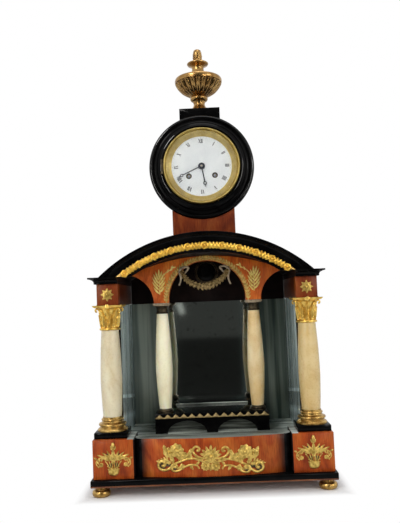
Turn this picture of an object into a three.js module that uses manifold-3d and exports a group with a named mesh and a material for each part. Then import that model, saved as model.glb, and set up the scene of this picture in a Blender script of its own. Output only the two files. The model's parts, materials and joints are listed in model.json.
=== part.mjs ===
// A portico table clock: a plinth on bun feet, a mirrored niche between columns, an arched
// pediment, and above it a drum that holds the movement and dial, with an urn on top.
// Millimetres, +Z up, the dial faces -Y, the origin is at the middle of the footprint.
import * as THREE from "three";
import { mergeVertices } from "three/addons/utils/BufferGeometryUtils.js";
import Module from "manifold-3d";

const wasm = await Module();
wasm.setup();

// Clearance between fitted pieces and round turning pieces
const GAP = 0.3;

// Plinth and feet
const PLINTH_WIDTH = 336;
const PLINTH_DEPTH = 182;
const PLINTH_HEIGHT = 9.5;
const LEDGE_FRONT = 6.5;
const LEDGE_SIDE = 3;
const LEDGE_BACK = 3;
const FOOT_HEIGHT = 14;
const FOOT_RADIUS = 12.8;
const FOOT_NECK_RADIUS = 7.8;
const FOOT_INSET = 14;

// Pedestals, bow front and niche floor
const PEDESTAL_WIDTH = 56.6;
const PEDESTAL_HEIGHT = 53;
const BOW_SET_BACK = 7;
const BOW_RISE = 11;
const BOW_END_RADIUS = 10;
const BOW_THICKNESS = 20;
const BOW_DROP = 1;
const FLOOR_DROP = 10;
const FLOOR_THICKNESS = 6;

// Front columns
const COLUMN_X = 140.5;
const COLUMN_SET_BACK = 29;
const SLAB_SIZE = 46;
const SLAB_HEIGHT = 8.5;
const BASE_RADIUS = 21.5;
const BASE_HEIGHT = 19;
const SHAFT_BOTTOM_RADIUS = 13;
const SHAFT_BELLY_RADIUS = 15.2;
const SHAFT_TOP_RADIUS = 12.3;
const SHAFT_HEIGHT = 121;
const CAPITAL_HEIGHT = 35.5;
const CAPITAL_BELL_RADIUS = 13;
const CAPITAL_WIDTH = 42;
const ABACUS_HEIGHT = 3;

// Friezes and cornice
const FRIEZE_WIDTH = 30;
const FRIEZE_HEIGHT = 30;
const FRIEZE_SET_BACK = 14;
const CORNICE_HEIGHT = 9.5;
const CORNICE_PROJECTION = 10.7;

// Walls and mirrors
const MIRROR_THICKNESS = 3;
const SIDE_WALL_THICKNESS = 19;
const BACK_WALL_THICKNESS = 9.5;

// Arched pediment
const ARCH_RISE = 59;
const ARCH_RADIUS = 221.8;
const ARCH_MOULDING = 14.6;
const GILT_BAND = 9.8;
const ARCH_FILLET = 4;
const ARCH_PROJECTION = 11;
const ROOF_DROP = 7.7;
const SOFFIT_RISE = 30;

// Tympanum, inner columns and bridge
const TYMPANUM_SET_BACK = 79;
const TYMPANUM_THICKNESS = 24;
const MIDDLE_ARCH_RADIUS = 58.5;
const MIDDLE_ARCH_SPRING = 4;
const SIDE_ARCH_RADIUS = 44.5;
const BRIDGE_SET_BACK = 75;
const BRIDGE_PAST_COLUMN = 15.25;
const BRIDGE_RISE = 29;
const BRIDGE_LEG = 18;
const BRIDGE_MIDDLE_LEG = 16;
const BRIDGE_CROWN = 18;
const INNER_END_RADIUS = 8.6;
const INNER_BELLY_RADIUS = 12.8;
const INNER_CAPITAL_HEIGHT = 16;
const INNER_ABACUS_WIDTH = 25;

// Neck, drum and urn
const NECK_WIDTH = 92;
const NECK_WALL = 6;
const NECK_FRONT = -36;
const NECK_BACK = 52;
const DRUM_CENTRE_HEIGHT = 459.5;
const DRUM_RADIUS = 70;
const DRUM_WALL = 8;
const DRUM_FLANGE_RADIUS = 77.8;
const DRUM_FRONT = -38;
const DRUM_BACK = 55;
const DRUM_WEB = 8;
const DOOR_THICKNESS = 3.4;
const URN_BLOCK_WIDTH = 61;
const URN_BLOCK_DEPTH = 58;
const URN_BLOCK_TOP = 552.5;
const URN_HEIGHT = 103;
const URN_RADIUS = 36.6;
const URN_Y = 5;

// Bezel, glass, dial and hands
const BEZEL_RADIUS = 56.5;
const BEZEL_DEPTH = 11.7;
const BEZEL_LIP = 4.5;
const SIGHT_RADIUS = 44.5;
const GLASS_THICKNESS = 1.5;
const GLASS_DOME = 4;
const DIAL_RADIUS = 47;
const DIAL_THICKNESS = 2;
const HAND_THICKNESS = 0.8;
const HOUR_HAND_LENGTH = 32;
const MINUTE_HAND_LENGTH = 40.5;
const MINUTE_AT = 246;
const HOUR_AT = 170.5;
const KNUCKLE_RADIUS = 1.5;
const KNUCKLE_HALF = 6;

// Movement
const FRONT_PLATE_RADIUS = 56;
const BACK_PLATE_RADIUS = 50;
const PLATE_THICKNESS = 2;
const PLATE_SPACING = 40;
const PILLAR_RADIUS = 2.6;
const PILLAR_CIRCLE = 43;
const WINDING_X = 19.2;
const WHEEL_TEETH = 60;
const PINION_LEAVES = 6;
const BARREL_MODULE = 0.72;
const CENTRE_MODULE = 0.53;
const THIRD_MODULE = 0.42;
const WHEEL_THICKNESS = 1.8;
const BARREL_RADIUS = 16.5;
const BARREL_LENGTH = 18;
const BARREL_ARBOR = 2.2;
const ARBOR_RADIUS = 1;
const PIVOT_RADIUS = 0.6;
const THIRD_AT = 45;
const CANNON_TEETH = 10;
const MINUTE_WHEEL_TEETH = 30;
const MINUTE_PINION_TEETH = 8;
const HOUR_WHEEL_TEETH = 32;
const MOTION_MODULE = 0.72;
const CANNON_RADIUS = 1.6;
const HOUR_PIPE_RADIUS = 2.6;
const ESCAPE_TEETH = 42;
const ESCAPE_RADIUS = 8.5;
const ANCHOR_ABOVE = 10.4;
const PALLET_CLEARANCE = 0.6;

// Pendulum, bell and hammer
const PENDULUM_BEHIND = 12;
const PENDULUM_LENGTH = 182.6;
const BOB_RADIUS = 15.8;
const BOB_THICKNESS = 8;
const ROD_RADIUS = 1;
const SLOT_HALF_WIDTH = 15;
const SLOT_HALF_DEPTH = 7;
const BELL_RADIUS = 31;
const BELL_DEPTH = 16;
const BELL_WALL = 1.6;
const BELL_X = 18;
const BELL_Z = 2;
const BELL_BEHIND = 19;
const HAMMER_DROP = 42;
const HAMMER_HEAD = 3.2;
const HAMMER_REST = 1.2;

// Finishes
const finish = (color, roughness, metalness) =>
  new THREE.MeshStandardMaterial({ color, roughness, metalness });
const MAHOGANY = finish(0x9a4a26, 0.35, 0);
const EBONISED = finish(0x101012, 0.25, 0);
const GILT = finish(0xcf9f3e, 0.35, 1);
const ANTIQUE_GILT = finish(0x8f6a2c, 0.4, 1);
const BRONZE = finish(0x3a2c1c, 0.45, 1);
const ALABASTER = finish(0xe2d3aa, 0.4, 0);
const MIRROR = finish(0x66757a, 0.05, 1);
const BRASS = finish(0xb8923f, 0.3, 1);
const STEEL = finish(0x8c9094, 0.3, 1);
const DARK_STEEL = finish(0x23272e, 0.3, 1);
const ENAMEL = finish(0xeceef0, 0.15, 0);
const GLASS = finish(0xdfe8ea, 0.02, 0);

// A closed geometry as a solid that can be joined and cut.
function solid(geometry) {
  const bare = geometry.clone();
  bare.deleteAttribute("normal");
  bare.deleteAttribute("uv");
  const merged = mergeVertices(bare, 1e-4);
  const index = merged.index.array;
  const kept = [];
  for (let i = 0; i < index.length; i += 3) {
    const [a, b, c] = [index[i], index[i + 1], index[i + 2]];
    if (a !== b && b !== c && c !== a) kept.push(a, b, c);
  }
  const vertProperties = merged.attributes.position.array;
  return new wasm.Manifold(new wasm.Mesh({ numProp: 3, vertProperties, triVerts: new Uint32Array(kept) }));
}

const join = (...shapes) => shapes.map(solid).reduce((all, one) => all.add(one));
const cut = (shape, ...tools) => tools.map(solid).reduce((left, tool) => left.subtract(tool), shape);

// A named node from a solid or a closed geometry, placed at a position.
function piece(name, shape, material, position = [0, 0, 0]) {
  const body = shape instanceof THREE.BufferGeometry ? solid(shape) : shape;
  const { vertProperties, triVerts } = body.getMesh();
  const geometry = new THREE.BufferGeometry();
  geometry.setAttribute("position", new THREE.BufferAttribute(vertProperties, 3));
  geometry.setIndex(new THREE.BufferAttribute(triVerts, 1));
  geometry.computeVertexNormals();
  const mesh = new THREE.Mesh(geometry, material);
  mesh.name = name;
  mesh.position.set(...position);
  return mesh;
}

// A box between two corners.
function block(x0, x1, y0, y1, z0, z1) {
  const box = new THREE.BoxGeometry(x1 - x0, y1 - y0, z1 - z0);
  return box.translate((x0 + x1) / 2, (y0 + y1) / 2, (z0 + z1) / 2);
}

const vectors = (points) => points.map(([a, b]) => new THREE.Vector2(a, b));

// The same outline run so that its outer side goes up, which turns the faces outwards.
function upward(outline) {
  let area = 0;
  outline.forEach(([r, y], i) => {
    const [r1, y1] = outline[(i + 1) % outline.length];
    area += r * y1 - r1 * y;
  });
  return vectors(area < 0 ? [...outline].reverse() : outline);
}

// Turned about the upright axis, from [radius, height] points.
const turned = (outline, sides) => new THREE.LatheGeometry(upward(outline), sides).rotateX(Math.PI / 2);

// Turned about the front-to-back axis, from [radius, y] points.
const faced = (outline, sides) => new THREE.LatheGeometry(upward(outline), sides);

// A closed ring outline comes back to its first point.
const ring = (outline, sides) => faced([...outline, outline[0]], sides);

// A round bar along the front-to-back axis at (x, z).
const bar = (radius, y0, y1, x = 0, z = 0, sides = 12) =>
  faced([[0, y0], [radius, y0], [radius, y1], [0, y1]], sides).translate(x, 0, z);

// A flat shape drawn in (x, z), between two depths.
function plate(shape, y0, y1, curveSegments = 24) {
  const slab = new THREE.ExtrudeGeometry(shape, { depth: y1 - y0, bevelEnabled: false, curveSegments });
  return slab.rotateX(Math.PI / 2).translate(0, y1, 0);
}

// A flat shape drawn in (x, y), between two heights.
function layer(shape, z0, z1, curveSegments = 24) {
  const slab = new THREE.ExtrudeGeometry(shape, { depth: z1 - z0, bevelEnabled: false, curveSegments });
  return slab.translate(0, 0, z0);
}

// Points along an arc in (x, z); angles in radians from +X.
function arc(cx, cz, radius, from, to, count) {
  const points = [];
  for (let i = 0; i <= count; i += 1) {
    const a = from + ((to - from) * i) / count;
    points.push([cx + radius * Math.cos(a), cz + radius * Math.sin(a)]);
  }
  return points;
}

const outlined = (points) => new THREE.Shape(vectors(points));

// A column shaft that swells to its belly and thins towards both ends.
function swelling(bottom, belly, top, height, bellyAt, steps) {
  const points = [[0, 0]];
  for (let i = 0; i <= steps; i += 1) {
    const t = i / steps;
    const low = t < bellyAt;
    const s = low ? t / bellyAt : (1 - t) / (1 - bellyAt);
    const end = low ? bottom : top;
    points.push([end + (belly - end) * Math.sin((s * Math.PI) / 2), t * height]);
  }
  points.push([0, height]);
  return points;
}

// A block whose front and one side step out along a moulding profile of [projection, height].
function mouldedBlock(inner, outer, front, back, profile, side) {
  const corners = [];
  for (const [p, z] of profile) {
    const [x0, x1] = side < 0 ? [-outer - p, -inner] : [inner, outer + p];
    corners.push([x0, front - p, z], [x1, front - p, z], [x1, back, z], [x0, back, z]);
  }
  const index = [0, 2, 1, 0, 3, 2];
  const last = corners.length - 4;
  index.push(last, last + 1, last + 2, last, last + 2, last + 3);
  for (let k = 0; k < last; k += 4) {
    for (let i = 0; i < 4; i += 1) {
      const j = (i + 1) % 4;
      index.push(k + i, k + j, k + 4 + j, k + i, k + 4 + j, k + 4 + i);
    }
  }
  const geometry = new THREE.BufferGeometry();
  geometry.setAttribute("position", new THREE.Float32BufferAttribute(corners.flat(), 3));
  geometry.setIndex(index);
  return geometry;
}

// Gear teeth as fractions of the module (height) and of the pitch (half width).
const WHEEL_TOOTH = { addendum: 0.75, dedendum: 1.25, root: 0.25, tip: 0 };
const LEAF_TOOTH = { addendum: 0.6, dedendum: 1.05, root: 0.16, tip: 0.13 };

// A toothed disc between two depths, one tooth pointing at an angle from +X towards +Z.
function toothed(teeth, module, form, toothAt, y0, y1) {
  const pitchRadius = (module * teeth) / 2;
  const low = pitchRadius - form.dedendum * module;
  const high = pitchRadius + form.addendum * module;
  const pitch = (2 * Math.PI) / teeth;
  const points = [];
  for (let i = 0; i < teeth; i += 1) {
    const a = toothAt + i * pitch;
    const tip = form.tip > 0 ? [[high, -form.tip], [high, form.tip]] : [[high, 0]];
    for (const [r, half] of [[low, -form.root], ...tip, [low, form.root]]) {
      points.push([r * Math.cos(a + half * pitch), r * Math.sin(a + half * pitch)]);
    }
  }
  return plate(outlined(points), y0, y1);
}
const gapAt = (angle, teeth) => angle + Math.PI + Math.PI / teeth;
const distance = (module, a, b) => (module * (a + b)) / 2;

// Heights and depths that follow from the sizes above
const plinthTop = FOOT_HEIGHT + PLINTH_HEIGHT;
const pedestalTop = plinthTop + PEDESTAL_HEIGHT;
const front = -PLINTH_DEPTH / 2 + LEDGE_FRONT;
const back = PLINTH_DEPTH / 2 - LEDGE_BACK;
const pedestalOuter = PLINTH_WIDTH / 2 - LEDGE_SIDE;
const pedestalInner = pedestalOuter - PEDESTAL_WIDTH;
const floorTop = pedestalTop - FLOOR_DROP;
const floorBottom = floorTop - FLOOR_THICKNESS;
const columnY = front + COLUMN_SET_BACK;
const slabTop = pedestalTop + SLAB_HEIGHT;
const baseTop = slabTop + BASE_HEIGHT;
const shaftTop = baseTop + SHAFT_HEIGHT;
const capitalTop = shaftTop + CAPITAL_HEIGHT;
const friezeTop = capitalTop + FRIEZE_HEIGHT;
const corniceTop = friezeTop + CORNICE_HEIGHT;
const friezeInner = COLUMN_X - FRIEZE_WIDTH / 2;
const friezeOuter = COLUMN_X + FRIEZE_WIDTH / 2;
const friezeFront = front + FRIEZE_SET_BACK;
const backWallFront = back - BACK_WALL_THICKNESS;
const mirrorBack = backWallFront - GAP;
const mirrorFront = mirrorBack - MIRROR_THICKNESS;
const sideWallInner = friezeInner + MIRROR_THICKNESS + GAP;
const sideWallOuter = sideWallInner + SIDE_WALL_THICKNESS;
const slabBack = columnY + SLAB_SIZE / 2;
const sideWallFront = slabBack + GAP;
const archCentre = corniceTop + ARCH_RISE - ARCH_RADIUS;
const soffitRadius = (friezeInner ** 2 + SOFFIT_RISE ** 2) / (2 * SOFFIT_RISE);
const soffitCentre = corniceTop + SOFFIT_RISE - soffitRadius;
const roofRadius = ARCH_RADIUS - ROOF_DROP;
const sides = [[-1, "left"], [1, "right"]];

// Plinth board on four bun feet
function base() {
  const group = new THREE.Group();
  const w = PLINTH_WIDTH / 2;
  const d = PLINTH_DEPTH / 2;
  group.add(piece("plinth_board", block(-w, w, -d, d, FOOT_HEIGHT, plinthTop), EBONISED));
  const bun = FOOT_HEIGHT * 0.72;
  const outline = [[0, 0], [FOOT_RADIUS * 0.62, 0]];
  for (const t of [0.2, 0.42, 0.64, 0.85]) {
    outline.push([FOOT_RADIUS * Math.sqrt(1 - (2.1 * (t - 0.47)) ** 2 * 0.55), bun * t]);
  }
  outline.push([FOOT_NECK_RADIUS, bun], [FOOT_NECK_RADIUS, FOOT_HEIGHT], [0, FOOT_HEIGHT]);
  const x = w - FOOT_RADIUS;
  for (const [side, label] of sides) {
    for (const [y, place] of [[-d + FOOT_INSET, "front"], [d - FOOT_INSET, "rear"]]) {
      group.add(piece(`foot_${place}_${label}`, turned(outline, 16), GILT, [side * x, y, 0]));
    }
  }

  for (const [side, label] of sides) {
    const [x0, x1] = side < 0 ? [-pedestalOuter, -pedestalInner] : [pedestalInner, pedestalOuter];
    const box = solid(block(x0, x1, front, back, plinthTop, pedestalTop));
    // Behind the column the pedestal is cut down, and the niche floor lies on it.
    const bed = block(-sideWallInner, sideWallInner, slabBack, backWallFront, floorBottom, 2 * pedestalTop);
    group.add(piece(`pedestal_${label}`, cut(box, bed), MAHOGANY));
  }

  // The bow front swells between the pedestals and turns back at both ends.
  const half = pedestalInner - GAP;
  const reach = half - BOW_END_RADIUS;
  const bowRadius = (reach ** 2 + BOW_RISE ** 2) / (2 * BOW_RISE);
  const bowFront = front + BOW_SET_BACK;
  const sweep = Math.asin(reach / bowRadius);
  const ahead = -Math.PI / 2;
  const bow = arc(0, bowFront - BOW_RISE + bowRadius, bowRadius, ahead - sweep, ahead + sweep, 24);
  const endY = bowFront + BOW_END_RADIUS;
  const right = arc(reach, endY, BOW_END_RADIUS, -Math.PI / 2, 0, 5).slice(1);
  const left = arc(-reach, endY, BOW_END_RADIUS, -Math.PI, -Math.PI / 2, 5).slice(0, -1);
  const bowBack = bowFront + BOW_THICKNESS;
  const plan = [...left, ...bow, ...right, [half, bowBack], [-half, bowBack]];
  const panel = layer(outlined(plan), plinthTop, pedestalTop - BOW_DROP);
  group.add(piece("bow_front", panel, MAHOGANY));

  const [near, far] = [bowBack + GAP, mirrorFront - GAP];
  const wide = sideWallInner - GAP;
  const floorPlan = [
    [-half, near], [half, near], [half, sideWallFront], [wide, sideWallFront],
    [wide, far], [-wide, far], [-wide, sideWallFront], [-half, sideWallFront],
  ];
  const floor = layer(outlined(floorPlan), floorBottom, floorTop);
  group.add(piece("niche_floor", floor, MIRROR));
  return group;
}

// Front columns, friezes and cornices on both sides
function portico() {
  const group = new THREE.Group();
  const s = SLAB_SIZE / 2;
  const r = BASE_RADIUS;
  const neck = SHAFT_BOTTOM_RADIUS + 0.6;
  const h = BASE_HEIGHT;
  const foot = [
    [0, 0], [r, 0], [r, 0.09 * h], [r * 0.9, 0.28 * h], [r * 0.84, 0.32 * h], [r * 0.9, 0.4 * h],
    [r * 0.9, 0.48 * h], [r * 0.84, 0.56 * h], [r * 0.7, 0.62 * h], [r * 0.68, 0.7 * h],
    [r * 0.72, 0.78 * h], [r * 0.7, 0.9 * h], [neck, 0.93 * h], [neck, h], [0, h],
  ];
  const shaft = swelling(SHAFT_BOTTOM_RADIUS, SHAFT_BELLY_RADIUS, SHAFT_TOP_RADIUS, SHAFT_HEIGHT, 0.4, 8);
  const bell = CAPITAL_BELL_RADIUS;
  const c = CAPITAL_WIDTH / 2;
  const leaf = CAPITAL_HEIGHT - ABACUS_HEIGHT;
  const cup = [
    [0, 0], [bell * 1.1, 0], [bell * 1.14, 0.06 * leaf], [bell * 1.02, 0.12 * leaf],
    [bell * 1.1, 0.3 * leaf], [bell * 1.24, 0.5 * leaf], [bell * 1.14, 0.55 * leaf],
    [bell * 1.28, 0.8 * leaf], [c * 0.92, 0.97 * leaf], [c * 0.92, leaf + 0.2], [0, leaf + 0.2],
  ];
  const capital = join(turned(cup, 16), block(-c, c, -c, c, leaf, CAPITAL_HEIGHT));
  const p = CORNICE_PROJECTION;
  const n = CORNICE_HEIGHT;
  const profile = [
    [p * 0.16, 0], [p * 0.16, n * 0.14], [p * 0.3, n * 0.22], [p * 0.52, n * 0.42],
    [p * 0.82, n * 0.58], [p, n * 0.66], [p, n],
  ];
  const raised = profile.map(([out, z]) => [out, friezeTop + z]);
  for (const [side, label] of sides) {
    const x = side * COLUMN_X;
    const slab = block(-s, s, -s, s, 0, SLAB_HEIGHT);
    group.add(piece(`column_slab_${label}`, slab, EBONISED, [x, columnY, pedestalTop]));
    group.add(piece(`column_base_${label}`, turned(foot, 18), GILT, [x, columnY, slabTop]));
    group.add(piece(`column_shaft_${label}`, turned(shaft, 20), ALABASTER, [x, columnY, baseTop]));
    group.add(piece(`capital_${label}`, capital, GILT, [x, columnY, shaftTop]));
    const [x0, x1] = side < 0 ? [-friezeOuter, -friezeInner] : [friezeInner, friezeOuter];
    group.add(piece(`frieze_${label}`, block(x0, x1, friezeFront, back, capitalTop, friezeTop), MAHOGANY));
    const cornice = mouldedBlock(friezeInner, friezeOuter, friezeFront, back, raised, side);
    group.add(piece(`cornice_${label}`, cornice, EBONISED));
  }
  return group;
}

// Mirrored niche: side walls, back wall and the three plates of mirror glass
function niche() {
  const group = new THREE.Group();
  for (const [side, label] of sides) {
    const wall = side < 0 ? [-sideWallOuter, -sideWallInner] : [sideWallInner, sideWallOuter];
    const box = block(...wall, sideWallFront, backWallFront - GAP, pedestalTop, capitalTop);
    group.add(piece(`side_wall_${label}`, box, MAHOGANY));
    const inner = friezeInner;
    const glass = side < 0 ? [-inner - MIRROR_THICKNESS, -inner] : [inner, inner + MIRROR_THICKNESS];
    const sheet = block(...glass, sideWallFront, mirrorBack, floorTop, capitalTop - GAP);
    group.add(piece(`side_mirror_${label}`, sheet, MIRROR));
  }

  const low = pedestalInner - GAP;
  const wide = friezeInner - GAP;
  const top = soffitRadius - GAP;
  const spread = Math.asin(wide / top);
  const vault = arc(0, soffitCentre, top, Math.PI / 2 - spread, Math.PI / 2 + spread, 20);
  const step = pedestalTop + GAP;
  const shoulder = capitalTop - GAP;
  const far = sideWallOuter;
  const board = [
    [-low, plinthTop], [low, plinthTop], [low, step], [far, step], [far, shoulder], [wide, shoulder],
    ...vault, [-wide, shoulder], [-far, shoulder], [-far, step], [-low, step],
  ];
  group.add(piece("back_wall", plate(outlined(board), backWallFront, back), EBONISED));
  const sheet = block(-wide, wide, mirrorFront, mirrorBack, floorBottom, shoulder);
  group.add(piece("back_mirror", sheet, MIRROR));
  return group;
}

// The space above the cornice that the turned arch mouldings keep
function aboveCornice(shape) {
  const r = ARCH_RADIUS * 2;
  return shape.intersect(solid(block(-r, r, -r, r, corniceTop, corniceTop + r)));
}

// Movement layers from front to back
const dialFront = DRUM_FRONT - DIAL_THICKNESS;
const webBack = DRUM_FRONT + DRUM_WEB;
const platesFrom = webBack + GAP + PLATE_THICKNESS;
const backPlate = platesFrom + PLATE_SPACING;
const backPlateRear = backPlate + PLATE_THICKNESS;
const pendulumY = backPlateRear + PENDULUM_BEHIND;
const escapePivot = distance(THIRD_MODULE, WHEEL_TEETH, PINION_LEAVES);
const thirdReach = distance(CENTRE_MODULE, WHEEL_TEETH, PINION_LEAVES);
const thirdAngle = THREE.MathUtils.degToRad(THIRD_AT);
const third = [thirdReach * Math.cos(thirdAngle), thirdReach * Math.sin(thirdAngle)];
const escape = [0, third[1] + Math.sqrt(escapePivot ** 2 - third[0] ** 2)];
const anchorZ = escape[1] + ANCHOR_ABOVE;
const windingReach = distance(BARREL_MODULE, WHEEL_TEETH, PINION_LEAVES);
const windingZ = -Math.sqrt(windingReach ** 2 - WINDING_X ** 2);
const motionReach = distance(MOTION_MODULE, CANNON_TEETH, MINUTE_WHEEL_TEETH);
const hammerX = BELL_X - BELL_RADIUS - HAMMER_REST - HAMMER_HEAD;
const hammerZ = BELL_Z - HAMMER_DROP;

// A way through for the pendulum rod
function rodSlot(z0, z1) {
  const [w, d] = [SLOT_HALF_WIDTH, SLOT_HALF_DEPTH];
  return block(-w, w, pendulumY - d, pendulumY + d, z0, z1);
}

// Arched pediment: raking cornice, gilt band, roof and tympanum
function pediment() {
  const group = new THREE.Group();
  const f = friezeFront - GAP;
  const p = ARCH_PROJECTION;
  const r = ARCH_RADIUS;
  const seat = r - ARCH_MOULDING;
  const inner = seat - GILT_BAND;
  const gilt = f - p * 0.22;
  const profile = [
    [r, f], [r, f - p], [r - 4, f - p], [r - 5, f - p * 0.88], [r - 9, f - p * 0.62], [r - 11, f - p * 0.6],
    [r - 11.5, f - p * 0.45], [seat, f - p * 0.42], [seat, gilt], [inner, gilt], [inner, f - p * 0.4],
    [inner - ARCH_FILLET, f - p * 0.4], [inner - ARCH_FILLET, f],
  ];
  const raking = solid(ring(profile, 96).translate(0, 0, archCentre));
  group.add(piece("arch_cornice", aboveCornice(raking), EBONISED));
  const g = [seat - GAP, inner + GAP];
  const bead = [
    [g[0], gilt - GAP], [g[0], gilt - p * 0.3], [g[0] - 2, gilt - p * 0.52],
    [g[1] + 2, gilt - p * 0.52], [g[1], gilt - p * 0.3], [g[1], gilt - GAP],
  ];
  const band = solid(ring(bead, 96).translate(0, 0, archCentre));
  group.add(piece("arch_gilt_band", aboveCornice(band), GILT));

  // The roof rests on the cornices; its underside is a flat vault.
  const reach = Math.sqrt(roofRadius ** 2 - (corniceTop - archCentre) ** 2);
  const outer = Math.asin(reach / roofRadius);
  const spread = Math.asin(friezeInner / soffitRadius);
  const roof = [
    ...arc(0, archCentre, roofRadius, Math.PI / 2 - outer, Math.PI / 2 + outer, 28),
    ...arc(0, soffitCentre, soffitRadius, Math.PI / 2 + spread, Math.PI / 2 - spread, 20),
  ];
  const vault = solid(plate(outlined(roof), friezeFront, back));
  group.add(piece("vault_roof", cut(vault, rodSlot(corniceTop, corniceTop + 2 * ARCH_RISE)), EBONISED));

  // Tympanum: a middle arch and two side arches under the vault
  const top = soffitRadius - GAP;
  const springs = capitalTop;
  const cx = friezeInner;
  const dx = cx;
  const dz = springs - soffitCentre;
  const apart = Math.hypot(dx, dz);
  const along = (apart ** 2 + top ** 2 - SIDE_ARCH_RADIUS ** 2) / (2 * apart);
  const offset = Math.sqrt(top ** 2 - along ** 2);
  const tip = [(along * dx - offset * dz) / apart, soffitCentre + (along * dz + offset * dx) / apart];
  const tipFromSide = Math.atan2(tip[1] - springs, tip[0] - cx);
  const tipFromVault = Math.atan2(tip[1] - soffitCentre, tip[0]);
  const spring = springs + MIDDLE_ARCH_SPRING;
  const m = MIDDLE_ARCH_RADIUS;
  const outline = [
    ...arc(-cx, springs, SIDE_ARCH_RADIUS, Math.PI - tipFromSide, 0, 10),
    [-m, springs], ...arc(0, spring, m, Math.PI, 0, 24), [m, springs],
    ...arc(cx, springs, SIDE_ARCH_RADIUS, Math.PI, tipFromSide, 10),
    ...arc(0, soffitCentre, top, tipFromVault, Math.PI - tipFromVault, 24).slice(1, -1),
  ];
  const y = front + TYMPANUM_SET_BACK;
  group.add(piece("tympanum", plate(outlined(outline), y, y + TYMPANUM_THICKNESS), MAHOGANY));
  return group;
}

// Inner columns on an arched bridge
function bridge() {
  const group = new THREE.Group();
  const x = (MIDDLE_ARCH_RADIUS + friezeInner - SIDE_ARCH_RADIUS) / 2;
  const half = x + BRIDGE_PAST_COLUMN;
  const top = floorTop + BRIDGE_RISE;
  const legIn = half - BRIDGE_LEG;
  const mid = BRIDGE_MIDDLE_LEG / 2;
  const span = (legIn - mid) / 2;
  const crown = [];
  for (let i = 0; i <= 12; i += 1) {
    const a = (Math.PI * i) / 12;
    crown.push([span * Math.cos(a), BRIDGE_CROWN * Math.sin(a)]);
  }
  const at = (x) => crown.map(([dx, dz]) => [x - dx, floorTop + dz]);
  const outline = [
    [-half, floorTop], ...at(-mid - span), ...at(mid + span), [half, floorTop], [half, top], [-half, top],
  ];
  const y = front + BRIDGE_SET_BACK;
  group.add(piece("bridge_stand", plate(outlined(outline), y, mirrorFront - GAP), EBONISED));

  const axis = front + TYMPANUM_SET_BACK + TYMPANUM_THICKNESS / 2;
  const height = capitalTop - INNER_CAPITAL_HEIGHT - top;
  const shaft = swelling(INNER_END_RADIUS, INNER_BELLY_RADIUS, INNER_END_RADIUS, height, 0.45, 8);
  const w = INNER_ABACUS_WIDTH / 2;
  const n = INNER_END_RADIUS;
  const h = INNER_CAPITAL_HEIGHT;
  const cup = [
    [0, 0], [n * 1.15, 0], [n * 1.15, 0.15 * h], [n, 0.22 * h], [n, 0.5 * h],
    [n * 1.28, 0.66 * h], [n * 1.28, 0.84 * h], [0, 0.84 * h],
  ];
  const capital = join(turned(cup, 14), block(-w, w, -w, w, 0.8 * h, h));
  for (const [side, label] of sides) {
    group.add(piece(`inner_column_${label}`, turned(shaft, 16), ALABASTER, [side * x, axis, top]));
    group.add(piece(`inner_capital_${label}`, capital, BRONZE, [side * x, axis, top + height]));
  }
  return group;
}

// Hinge position of the bezel, left of the dial
const hingeX = -BEZEL_RADIUS - KNUCKLE_RADIUS - GAP;
const hingeY = DRUM_FRONT - BEZEL_DEPTH + KNUCKLE_RADIUS;
// Hinge position of the rear door, at the drum's edge
const doorHingeX = DRUM_RADIUS - KNUCKLE_RADIUS;
const doorHingeY = DRUM_BACK + GAP + DOOR_THICKNESS + KNUCKLE_RADIUS;

// Upright hinge knuckle at (x, y), between two heights
const knuckle = (x, y, z0, z1) =>
  turned([[0, z0], [KNUCKLE_RADIUS, z0], [KNUCKLE_RADIUS, z1], [0, z1]], 8).translate(x, y, 0);

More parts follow.
